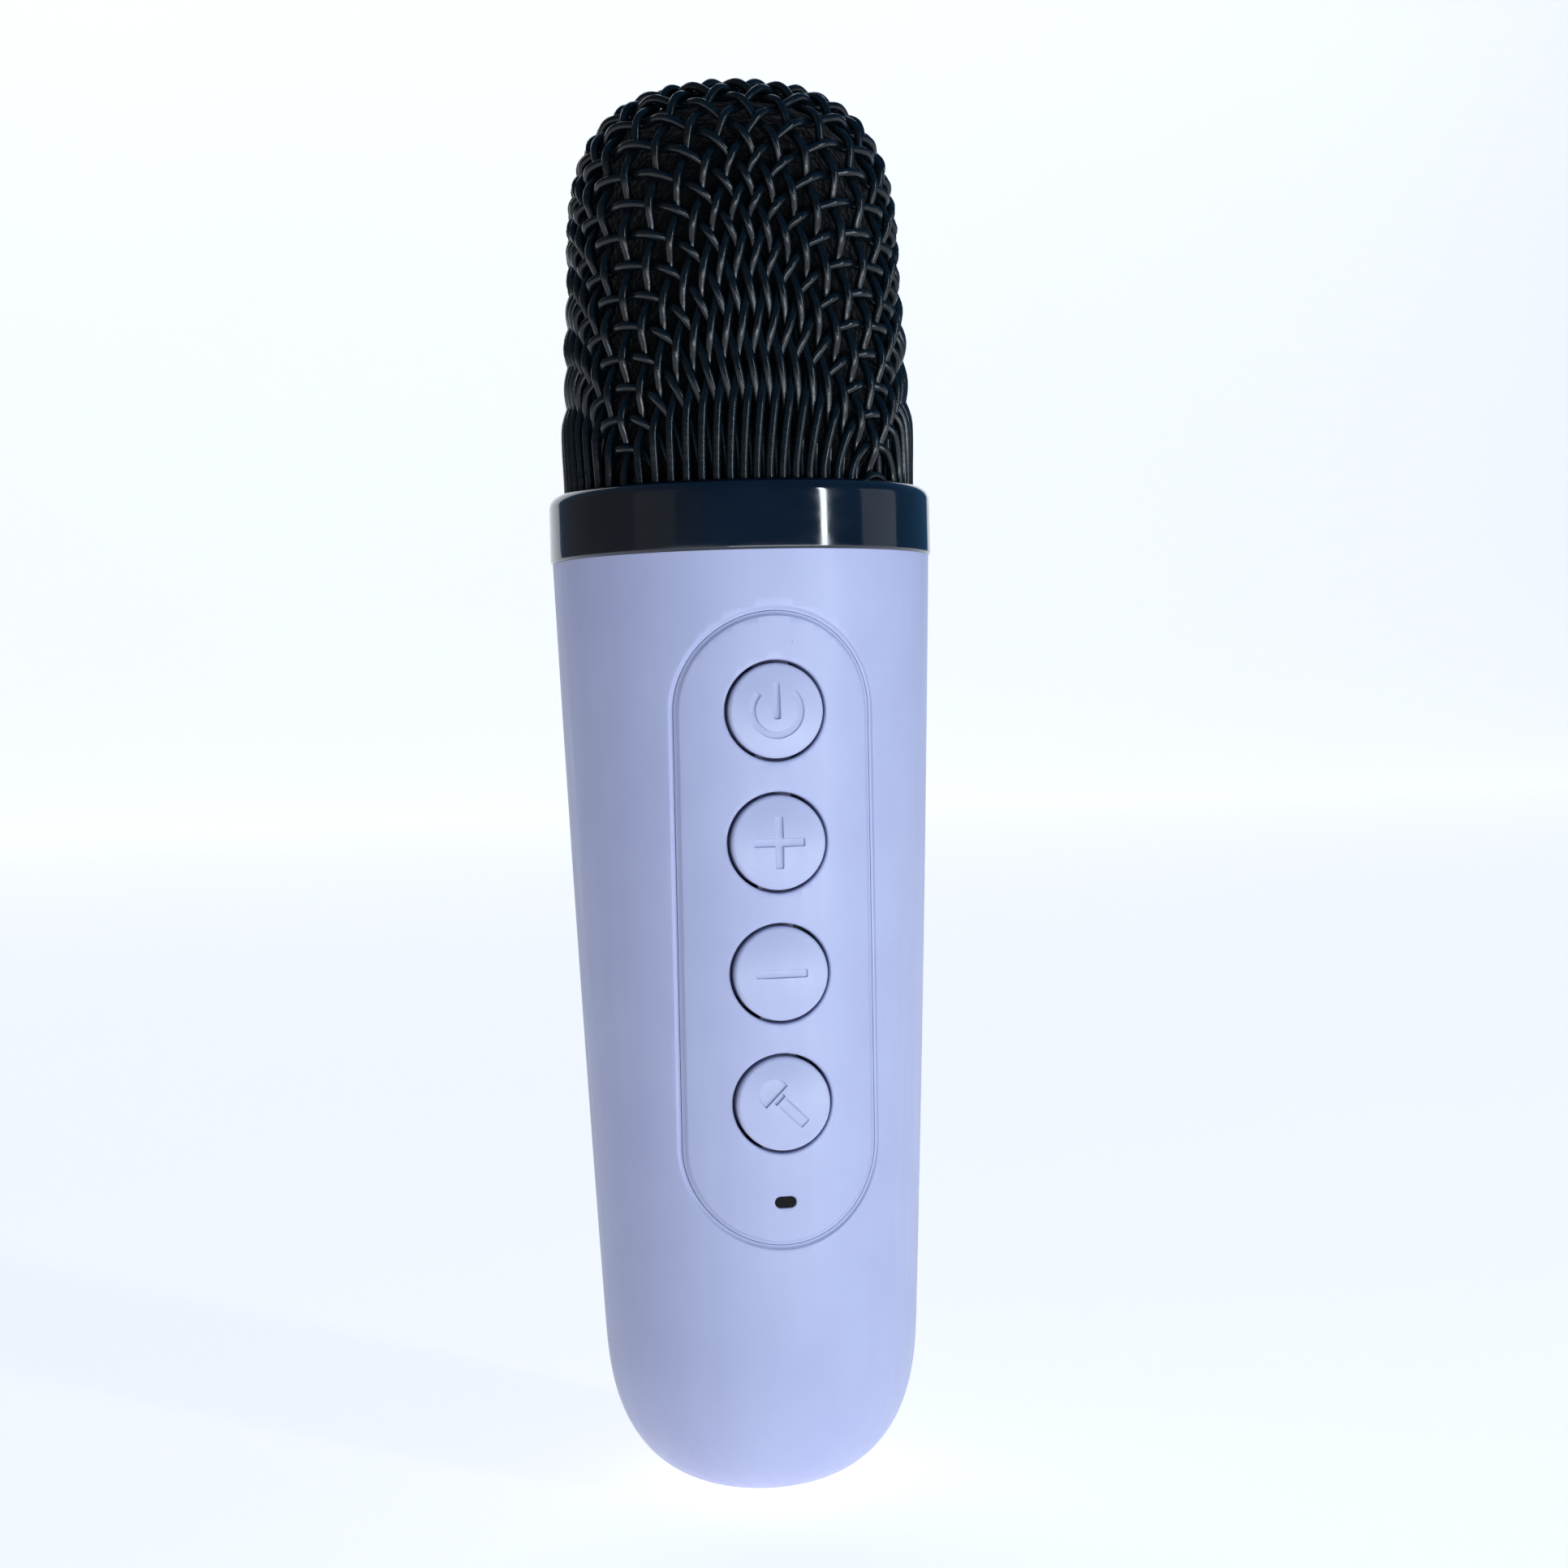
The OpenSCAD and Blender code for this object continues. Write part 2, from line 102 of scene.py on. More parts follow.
def weigh_normals(piece: bpy.types.Object) -> None:
    """Leans the shading towards the large faces, so that small cut faces leave no marks."""
    make_active(piece)
    mod = piece.modifiers.new("weigh", "WEIGHTED_NORMAL")
    mod.keep_sharp = True
    mod.weight = 100
    bpy.ops.object.modifier_apply(modifier=mod.name)


def loft(name: str, rings: Sequence[Ring], capped: bool = True) -> bpy.types.Object:
    """Extrudes a closed loop of points through a list of rings.

    Args:
        name: name of the new object.
        rings: arrays of points in millimetres, all with the same count.
        capped: closes both ends.

    Returns:
        The new object.
    """
    count = len(rings[0])
    deselect_all()
    bpy.ops.mesh.primitive_circle_add(vertices=count, radius=MM, fill_type="NOTHING")
    piece = bpy.context.object
    piece.name = name
    bpy.ops.object.mode_set(mode="EDIT")
    bpy.ops.mesh.select_all(action="SELECT")
    for _ in rings[1:]:
        bpy.ops.mesh.extrude_region_move(TRANSFORM_OT_translate={"value": (0, 0, MM)})
    bpy.ops.object.mode_set(mode="OBJECT")
    places = (np.concatenate(rings) * MM).astype(np.float32)
    piece.data.vertices.foreach_set("co", places.ravel())
    piece.data.update()
    if capped:
        edges = bmesh.new()
        edges.from_mesh(piece.data)
        edges.verts.ensure_lookup_table()
        last = (len(rings) - 1) * count
        edges.faces.new([edges.verts[k] for k in range(count)])
        edges.faces.new([edges.verts[last + k] for k in range(count)])
        edges.to_mesh(piece.data)
        edges.free()
    clean_up(piece)
    return piece


def turn(
    name: str,
    profile: Sequence[Point2],
    steps: int,
    facing: Callable[[Point2], Vector],
    centre: Vector,
    axis: Vector,
    closed: bool = False,
) -> bpy.types.Object:
    """Turns a profile all the way round an axis.

    Args:
        name: name of the new object.
        profile: pairs of radius and place along the axis, in millimetres.
        steps: number of steps of the turn.
        facing: gives the place of a profile point before the turn, in millimetres.
        centre: a point on the axis, in millimetres.
        axis: direction of the axis.
        closed: joins the profile's last point to its first.

    Returns:
        The new object.
    """
    points = [facing(p) * MM for p in profile]
    deselect_all()
    bpy.ops.mesh.primitive_plane_add(size=MM, location=points[0])
    piece = bpy.context.object
    piece.name = name
    bpy.ops.object.transform_apply(location=True, rotation=True, scale=True)
    bpy.ops.object.mode_set(mode="EDIT")
    bpy.ops.mesh.select_mode(type="VERT")
    bpy.ops.mesh.select_all(action="SELECT")
    bpy.ops.mesh.merge(type="CENTER")
    for before, after in zip(points, points[1:]):
        bpy.ops.mesh.extrude_region_move(TRANSFORM_OT_translate={"value": after - before})
    bpy.ops.mesh.select_all(action="SELECT")
    if closed:
        bpy.ops.mesh.select_all(action="DESELECT")
        mesh = bmesh.from_edit_mesh(piece.data)
        for vertex in mesh.verts:
            vertex.select = len(vertex.link_edges) == 1
        bmesh.update_edit_mesh(piece.data)
        bpy.ops.mesh.edge_face_add()
        bpy.ops.mesh.select_all(action="SELECT")
    bpy.ops.mesh.spin(steps=steps, angle=math.tau, center=centre * MM, axis=axis, dupli=False)
    clean_up(piece)
    return piece


def turn_upright(
    name: str, profile: Sequence[Point2], steps: int, closed: bool = False
) -> bpy.types.Object:
    """Turns a profile of radius and height round the microphone's axis."""
    origin, up = Vector((0.0, 0.0, 0.0)), Vector((0.0, 0.0, 1.0))
    return turn(name, profile, steps, lambda p: Vector((p[0], 0.0, p[1])), origin, up, closed)


class Join(Enum):
    """How a second solid changes the first."""

    CUT = "DIFFERENCE"
    KEEP = "INTERSECT"
    ADD = "UNION"


def combine(piece: bpy.types.Object, tool: bpy.types.Object, how: Join) -> None:
    """Cuts, keeps or adds a second solid, and removes it afterwards.

    Args:
        piece: the solid that is changed.
        tool: the solid that changes it.
        how: what is done with it.
    """
    make_active(piece)
    mod = piece.modifiers.new("combine", "BOOLEAN")
    mod.object = tool
    mod.operation = how.value
    mod.solver = "EXACT"
    bpy.ops.object.modifier_apply(modifier=mod.name)
    bpy.data.objects.remove(tool, do_unlink=True)
    clean_up(piece)


# ---- flat outlines -----------------------------------------------------------------------------


def arc(centre: Point2, radius: float, start: float, end: float, steps: int) -> list[Point2]:
    """Points on an arc, angles in degrees, both ends included."""
    return [
        (
            centre[0] + radius * math.cos(math.radians(start + (end - start) * k / steps)),
            centre[1] + radius * math.sin(math.radians(start + (end - start) * k / steps)),
        )
        for k in range(steps + 1)
    ]


def circle(centre: Point2, radius: float, steps: int = 96) -> list[Point2]:
    """A whole circle."""
    return arc(centre, radius, 0, 360, steps)[:-1]


def rounded_bar(
    width: float, height: float, corner: float, centre: Point2 = (0, 0)
) -> list[Point2]:
    """A bar with small round corners."""
    x, z = width / 2 - corner, height / 2 - corner
    corners = [(x, z, 0), (-x, z, 90), (-x, -z, 180), (x, -z, 270)]
    points: list[Point2] = []
    for cx, cz, a in corners:
        points += arc((centre[0] + cx, centre[1] + cz), corner, a, a + 90, 4)
    return points


def thicken(points: Sequence[Point2], straight: float) -> list[Point2]:
    """Adds points to a closed outline's long sides, none longer than the given length."""
    result: list[Point2] = []
    for a, b in zip(points, list(points[1:]) + [points[0]]):
        parts = max(1, math.ceil(math.dist(a, b) / straight))
        result += [(a[0] + (b[0] - a[0]) * k / parts, a[1] + (b[1] - a[1]) * k / parts)
                   for k in range(parts)]
    return result


def turned(points: Sequence[Point2], degrees: float) -> list[Point2]:
    """An outline turned anticlockwise about its origin."""
    c, s = math.cos(math.radians(degrees)), math.sin(math.radians(degrees))
    return [(x * c - z * s, x * s + z * c) for x, z in points]


def grown(points: Sequence[Point2], by: float) -> np.ndarray:
    """Moves every point of an anticlockwise outline outwards.

    Args:
        points: the outline.
        by: distance, negative to shrink it.

    Returns:
        An array of the moved points.
    """
    p = np.array(points, float)
    ahead = np.roll(p, -1, 0) - p
    ahead /= np.linalg.norm(ahead, axis=1)[:, None]
    behind = np.roll(ahead, 1, 0)
    mitre = np.stack([ahead[:, 1] + behind[:, 1], -ahead[:, 0] - behind[:, 0]], 1)
    length = (mitre ** 2).sum(1) / 2
    return p + by * mitre / np.maximum(length, 0.3)[:, None]


# ---- the handle's surface ----------------------------------------------------------------------


@dataclass(frozen=True)
class HandleShape:
    """The handle's outer surface and the places on it."""

    height: float = 85.2
    neck_r: float = 17.3
    foot_r: float = 14.45
    dome_h: float = 15.5
    swell: float = 0.14
    dome_power: float = 2.7
    wall: float = 1.6
    panel_half_w: float = 8.6
    panel_low: float = 24.6
    panel_high: float = 79.9
    power_z: float = 71.3
    button_pitch: float = 11.4
    led_z: float = 28.4

    def side_r(self, z: np.ndarray | float) -> np.ndarray | float:
        """Radius of the tapered side at height z, before the domed end rounds it off."""
        t = (z - self.dome_h) / (self.height - self.dome_h)
        return self.foot_r + (self.neck_r - self.foot_r) * t + self.swell * 4 * t * (1 - t)

    def outline(self, inset: float, rows: int, dome_rows: int) -> list[Point2]:
        """Half outline from the axis at the bottom up to the collar.

        Args:
            inset: distance that the surface is moved inwards.
            rows: number of rows up the side.
            dome_rows: number of rows over the domed end.

        Returns:
            Pairs of radius and height.
        """
        points: list[Point2] = []
        for k in range(dome_rows + 1):
            a = math.radians(90 * k / dome_rows)
            z = inset + (self.dome_h - inset) * (1 - math.cos(a) ** (2 / self.dome_power))
            points.append(((self.side_r(z) - inset) * math.sin(a) ** (2 / self.dome_power), z))
        for k in range(1, rows + 1):
            z = self.dome_h + (self.height - self.dome_h) * k / rows
            points.append((self.side_r(z) - inset, z))
        return points

    def dome_z(self, r: np.ndarray) -> np.ndarray:
        """Height of the domed end's surface at radius r."""
        part = np.clip(r / self.foot_r, 0, 0.999) ** self.dome_power
        return self.dome_h * (1 - (1 - part) ** (1 / self.dome_power))

    def front_y(self, x: np.ndarray, z: np.ndarray) -> np.ndarray:
        """Distance of the front surface in front of the axis."""
        return np.sqrt(self.side_r(z) ** 2 - x**2)

    def racetrack(self) -> list[Point2]:
        """The panel's outline: straight sides and round ends."""
        low = self.panel_low + self.panel_half_w
        high = self.panel_high - self.panel_half_w
        ends = arc((0, high), self.panel_half_w, 0, 180, 72)
        ends += arc((0, low), self.panel_half_w, 180, 360, 72)
        return thicken(ends, 1.0)

    def button_z(self, index: int) -> float:
        """Height of a button, counted down from the power button."""
        return self.power_z - index * self.button_pitch

    def plug_through(
        self, name: str, outline: Sequence[Point2], lips: Sequence[Point2]
    ) -> bpy.types.Object:
        """A solid that stands through the front wall and follows its curve.

        Args:
            name: name of the new object.
            outline: the solid's outline in x and z.
            lips: pairs of growth and depth below the surface, from the deepest outwards.

        Returns:
            The new object.
        """
        rings = []
        for growth, depth in lips:
            flat = grown(outline, growth)
            y = -(self.front_y(flat[:, 0], flat[:, 1]) - depth)
            rings.append(np.stack([flat[:, 0], y, flat[:, 1]], 1))
        inner, outer = rings[0].copy(), rings[-1].copy()
        inner[:, 1] = rings[0][:, 1].max() + 0.5
        outer[:, 1] = rings[-1][:, 1].min() - 0.5
        return loft(name, [inner, *rings, outer])


HANDLE = HandleShape()
DEEP = 4.0
OUTSIDE = -2.0


# ---- finishes ----------------------------------------------------------------------------------


class Nodes:
    """A material's node tree, with short ways to add nodes to it."""

    def __init__(self, name: str) -> None:
        """Starts a material with its shader and output."""
        self.material = bpy.data.materials.new(name)
        self.material.use_nodes = True
        self.tree = self.material.node_tree
        self.tree.nodes.clear()
        output = self.tree.nodes.new("ShaderNodeOutputMaterial")
        self.shader = self.tree.nodes.new("ShaderNodeBsdfPrincipled")
        self.link(self.shader.outputs["BSDF"], output.inputs["Surface"])
        self.place = self.tree.nodes.new("ShaderNodeTexCoord").outputs["Object"]

    def link(self, source: bpy.types.NodeSocket, target: bpy.types.NodeSocket) -> None:
        """Joins two sockets."""
        self.tree.links.new(source, target)

    def set(self, **values: float | Sequence[float]) -> None:
        """Sets the shader's own sockets, named with underscores for spaces."""
        for key, value in values.items():
            self.shader.inputs[key.replace("_", " ")].default_value = value

    def stretched(self, scale: Sequence[float]) -> bpy.types.NodeSocket:
        """The object's coordinates, stretched."""
        node = self.tree.nodes.new("ShaderNodeMapping")
        node.inputs["Scale"].default_value = scale
        self.link(self.place, node.inputs["Vector"])
        return node.outputs["Vector"]

    def noise(
        self, grain: float, detail: float = 2.0, where: bpy.types.NodeSocket | None = None
    ) -> bpy.types.NodeSocket:
        """Noise whose grains are the given size in millimetres."""
        node = self.tree.nodes.new("ShaderNodeTexNoise")
        node.inputs["Scale"].default_value = 1 / (grain * MM)
        node.inputs["Detail"].default_value = detail
        self.link(where or self.place, node.inputs["Vector"])
        return node.outputs["Fac"]

    def cells(self, grain: float, feature: str = "F1") -> bpy.types.NodeSocket:
        """Distance to the middle of cells of the given size in millimetres."""
        node = self.tree.nodes.new("ShaderNodeTexVoronoi")
        node.feature = feature
        node.inputs["Scale"].default_value = 1 / (grain * MM)
        self.link(self.place, node.inputs["Vector"])
        return node.outputs["Distance"]

    def ramp(
        self, source: bpy.types.NodeSocket, stops: Sequence[tuple[float, Sequence[float]]]
    ) -> bpy.types.NodeSocket:
        """A colour ramp over a value."""
        node = self.tree.nodes.new("ShaderNodeValToRGB")
        elements = node.color_ramp.elements
        while len(elements) < len(stops):
            elements.new(0.5)
        for element, (at, color) in zip(elements, stops):
            element.position = at
            element.color = (*color, 1.0)
        self.link(source, node.inputs["Fac"])
        return node.outputs["Color"]

    def span(
        self, source: bpy.types.NodeSocket, low: float, high: float,
        source_low: float = 0.3, source_high: float = 0.7,
    ) -> bpy.types.NodeSocket:
        """Spreads a value over a new range."""
        node = self.tree.nodes.new("ShaderNodeMapRange")
        node.inputs["From Min"].default_value = source_low
        node.inputs["From Max"].default_value = source_high
        node.inputs["To Min"].default_value = low
        node.inputs["To Max"].default_value = high
        self.link(source, node.inputs["Value"])
        return node.outputs["Result"]

    def mix(
        self, factor: bpy.types.NodeSocket, first: bpy.types.NodeSocket | Color,
        second: bpy.types.NodeSocket | Color,
    ) -> bpy.types.NodeSocket:
        """Mixes two colours."""
        node = self.tree.nodes.new("ShaderNodeMix")
        node.data_type = "RGBA"
        self.link(factor, node.inputs["Factor"])
        for value, socket in ((first, node.inputs[6]), (second, node.inputs[7])):
            if isinstance(value, tuple):
                socket.default_value = (*value, 1.0)
            else:
                self.link(value, socket)
        return node.outputs[2]

    def bump(self, *layers: tuple[bpy.types.NodeSocket, float]) -> None:
        """Adds height layers, each a value and its height in millimetres, under the shader."""
        normal = None
        for height, rise in layers:
            node = self.tree.nodes.new("ShaderNodeBump")
            node.inputs["Distance"].default_value = rise * MM
            node.inputs["Strength"].default_value = 1.0
            self.link(height, node.inputs["Height"])
            if normal:
                self.link(normal, node.inputs["Normal"])
            normal = node.outputs["Normal"]
        if normal:
            self.link(normal, self.shader.inputs["Normal"])


class Finish:
    """A finish that makes its material once and puts it on pieces."""

    name: str
    _made: bpy.types.Material | None = None

    def material(self) -> bpy.types.Material:
        """The finish's material, made at its first use."""
        made = bpy.data.materials.get(self.name)
        return made or self.make()

    def make(self) -> bpy.types.Material:
        """Makes the material."""
        raise NotImplementedError

    def dress(self, piece: bpy.types.Object) -> None:
        """Puts the finish all over a piece."""
        piece.data.materials.clear()
        piece.data.materials.append(self.material())


@dataclass(frozen=True)
class SatinPlastic(Finish):
    """Moulded plastic with a fine spark grain, faint flow streaks and a few specks of dust."""

    name: str
    color: Color
    shade: Color
    roughness: float = 0.4
    grain: float = 0.16
    speck: Color = (0.25, 0.24, 0.3)

    def make(self) -> bpy.types.Material:
        """Makes the satin plastic."""
        nodes = Nodes(self.name)
        cloud = nodes.noise(9, 3)
        streak = nodes.noise(1.1, 3, nodes.stretched((1, 1, 0.06)))
        tone = nodes.mix(nodes.span(cloud, 0, 1), self.color, self.shade)
        veiled = nodes.mix(nodes.span(streak, 0, 0.35), tone, self.shade)
        dust = nodes.span(nodes.cells(2.6), 1, 0, 0.022, 0.05)
        rare = nodes.span(nodes.noise(7), 0, 0.8, 0.56, 0.62)
        gate = nodes.tree.nodes.new("ShaderNodeMath")
        gate.operation = "MULTIPLY"
        nodes.link(dust, gate.inputs[0])
        nodes.link(rare, gate.inputs[1])
        color = nodes.mix(gate.outputs[0], veiled, self.speck)
        nodes.link(color, nodes.shader.inputs["Base Color"])
        rough = nodes.span(streak, self.roughness - 0.05, self.roughness + 0.06)
        nodes.link(rough, nodes.shader.inputs["Roughness"])
        nodes.set(Specular_IOR_Level=0.5, IOR=1.46, Subsurface_Weight=0.0)
        nodes.bump(
            (nodes.noise(self.grain, 2), 0.006),
            (nodes.noise(2.4, 2, nodes.stretched((1, 1, 0.2))), 0.012),
        )
        return nodes.material


@dataclass(frozen=True)
class GlossPlastic(Finish):
    """Polished dark plastic with faint swirls and a little dust."""

    name: str
    color: Color
    roughness: float = 0.07

    def make(self) -> bpy.types.Material:
        """Makes the gloss plastic."""
        nodes = Nodes(self.name)
        lighter = tuple(c * 1.5 + 0.001 for c in self.color)
        color = nodes.mix(nodes.span(nodes.noise(6, 3), 0, 1), self.color, lighter)
        nodes.link(color, nodes.shader.inputs["Base Color"])
        smear = nodes.noise(2.2, 4, nodes.stretched((1, 1, 3)))
        nodes.link(
            nodes.span(smear, self.roughness, self.roughness + 0.07),
            nodes.shader.inputs["Roughness"],
        )
        nodes.set(Specular_IOR_Level=0.5, IOR=1.52, Coat_Weight=0.4, Coat_Roughness=0.04)
        nodes.bump((nodes.noise(3.5, 2), 0.012), (nodes.noise(0.2, 1), 0.0006))
        return nodes.material


@dataclass(frozen=True)
class PaintedWire(Finish):
    """Dark enamelled wire, a little worn in random patches."""

    name: str
    color: Color
    worn: Color

    def make(self) -> bpy.types.Material:
        """Makes the wire's enamel."""
        nodes = Nodes(self.name)
        wear = nodes.span(nodes.noise(0.9, 4), 0, 1, 0.5, 0.8)
        color = nodes.mix(wear, self.color, self.worn)
        nodes.link(color, nodes.shader.inputs["Base Color"])
        nodes.link(nodes.span(nodes.noise(0.5, 3), 0.16, 0.3), nodes.shader.inputs["Roughness"])
        nodes.set(Metallic=0.0, Specular_IOR_Level=0.4, Coat_Weight=0.0)
        nodes.bump((nodes.noise(0.25, 3), 0.01))
        return nodes.material


@dataclass(frozen=True)
class OpenFoam(Finish):
    """Soft open-celled foam, with painted shade darkening its pores."""

    name: str
    color: Color
    painted_pore_shade: Color
    cell: float = 0.5

    def make(self) -> bpy.types.Material:
        """Makes the foam."""
        nodes = Nodes(self.name)
        pores = nodes.cells(self.cell)
        # painted shade: the pore middles are darkened towards the pore colour, standing in for shade
        # in the foam's hollows
        color = nodes.mix(nodes.span(pores, 0, 1, 0.1, 0.6), self.painted_pore_shade, self.color)
        nodes.link(color, nodes.shader.inputs["Base Color"])
        nodes.set(Roughness=0.95, Specular_IOR_Level=0.15, Sheen_Weight=0.1)
        nodes.bump((pores, 0.25), (nodes.noise(self.cell * 0.4, 2), 0.05))
        return nodes.material


@dataclass(frozen=True)
class Resin(Finish):
    """Dull moulded resin, ceramic or rubber with a fine grain."""

    name: str
    color: Color
    roughness: float = 0.5
    grain: float = 0.2
    rise: float = 0.006
    specular: float = 0.5

    def make(self) -> bpy.types.Material:
        """Makes the resin."""
        nodes = Nodes(self.name)
        shade = tuple(c * 0.7 for c in self.color)
        color = nodes.mix(nodes.span(nodes.noise(1.8, 4), 0, 1), self.color, shade)
        nodes.link(color, nodes.shader.inputs["Base Color"])
        rough = nodes.span(nodes.noise(0.7, 3), self.roughness - 0.08, self.roughness + 0.1)
        nodes.link(rough, nodes.shader.inputs["Roughness"])
        nodes.set(Specular_IOR_Level=self.specular)
        nodes.bump((nodes.noise(self.grain, 3), self.rise))
        return nodes.material


@dataclass(frozen=True)
class Metal(Finish):
    """Bright or plated metal with rolling marks."""

    name: str
    color: Color
    roughness: float = 0.28

    def make(self) -> bpy.types.Material:
        """Makes the metal."""
        nodes = Nodes(self.name)
        dull = tuple(c * 0.72 for c in self.color)
        color = nodes.mix(nodes.span(nodes.noise(1.5, 4), 0, 1), self.color, dull)
        nodes.link(color, nodes.shader.inputs["Base Color"])
        brushed = nodes.noise(0.3, 3, nodes.stretched((1, 1, 0.1)))
        rough = nodes.span(brushed, self.roughness - 0.08, self.roughness + 0.12)
        nodes.link(rough, nodes.shader.inputs["Roughness"])
        nodes.set(Metallic=1.0)
        nodes.bump((brushed, 0.004))
        return nodes.material


@dataclass(frozen=True)
class Laminate(Finish):
    """Circuit board: glass weave under coloured lacquer, with lighter tracks."""

    name: str
    color: Color
    track: Color

    def make(self) -> bpy.types.Material:
        """Makes the board."""
        nodes = Nodes(self.name)
        lines = nodes.tree.nodes.new("ShaderNodeTexWave")
        lines.wave_type = "BANDS"
        lines.bands_direction = "X"
        lines.inputs["Scale"].default_value = 160
        lines.inputs["Distortion"].default_value = 6
        lines.inputs["Detail"].default_value = 1
        nodes.link(nodes.place, lines.inputs["Vector"])
        color = nodes.mix(nodes.span(lines.outputs["Fac"], 0, 1, 0.75, 0.85), self.color, self.track)
        nodes.link(color, nodes.shader.inputs["Base Color"])
        nodes.set(Roughness=0.3, Coat_Weight=0.4, Coat_Roughness=0.15)
        nodes.bump((lines.outputs["Fac"], 0.02), (nodes.noise(0.3, 2), 0.008))
        return nodes.material


SHELL = SatinPlastic("pearl_shell_plastic", (0.45, 0.475, 0.68), (0.41, 0.43, 0.64))
KEYS = SatinPlastic("pearl_key_plastic", (0.47, 0.49, 0.69), (0.43, 0.45, 0.65), roughness=0.36)
COLLAR = GlossPlastic("midnight_gloss", (0.0015, 0.004, 0.009))
WIRE = PaintedWire("black_wire_enamel", (0.0015, 0.004, 0.006), (0.004, 0.01, 0.014))
# the third colour of each foam is painted shade for its pores
FOAM = OpenFoam("black_head_foam", (0.0015, 0.0025, 0.0035), (0.0004, 0.0006, 0.0008))
PAD_FOAM = OpenFoam("grey_pad_foam", (0.03, 0.03, 0.032), (0.006, 0.006, 0.007), 0.4)
RIM = Metal("zinc_rim", (0.35, 0.36, 0.38), 0.35)
STEEL = Metal("nickel_steel", (0.6, 0.6, 0.6), 0.25)
ALLOY = Metal("capsule_alloy_satin", (0.75, 0.76, 0.78), 0.3)
TIN = Metal("shield_tin_bright", (0.7, 0.69, 0.66), 0.22)
BLACK_RESIN = Resin("black_resin", (0.012, 0.012, 0.013), 0.45)
RUBBER = Resin("boot_rubber_black", (0.015, 0.015, 0.016), 0.75, 0.12, 0.01)
FELT = Resin("capsule_cloth_black", (0.01, 0.01, 0.011), 0.95, 0.1, 0.04)
CERAMIC = Resin("white_ceramic", (0.75, 0.74, 0.7), 0.4)
PLUNGER = Resin("ivory_resin", (0.7, 0.66, 0.55), 0.4)
LENS = Resin("smoked_lens", (0.002, 0.002, 0.003), 0.3, 0.3, 0.001, specular=0.1)
BOARD = Laminate("green_board", (0.01, 0.09, 0.04), (0.03, 0.2, 0.09))
CELL = Resin("cell_jacket_blue", (0.03, 0.13, 0.36), 0.3, 0.4, 0.004)
RED_LEAD = Resin("lead_red", (0.5, 0.02, 0.015), 0.4)
BLACK_LEAD = Resin("lead_black", (0.01, 0.01, 0.01), 0.4)
RIBBON = Resin("ribbon_white", (0.6, 0.6, 0.57), 0.45)


# ---- casing ------------------------------------------------------------------------------------


class Side(Enum):
    """The two halves of the casing, with the way along Y that each one lies."""

    FRONT = -1
    REAR = 1


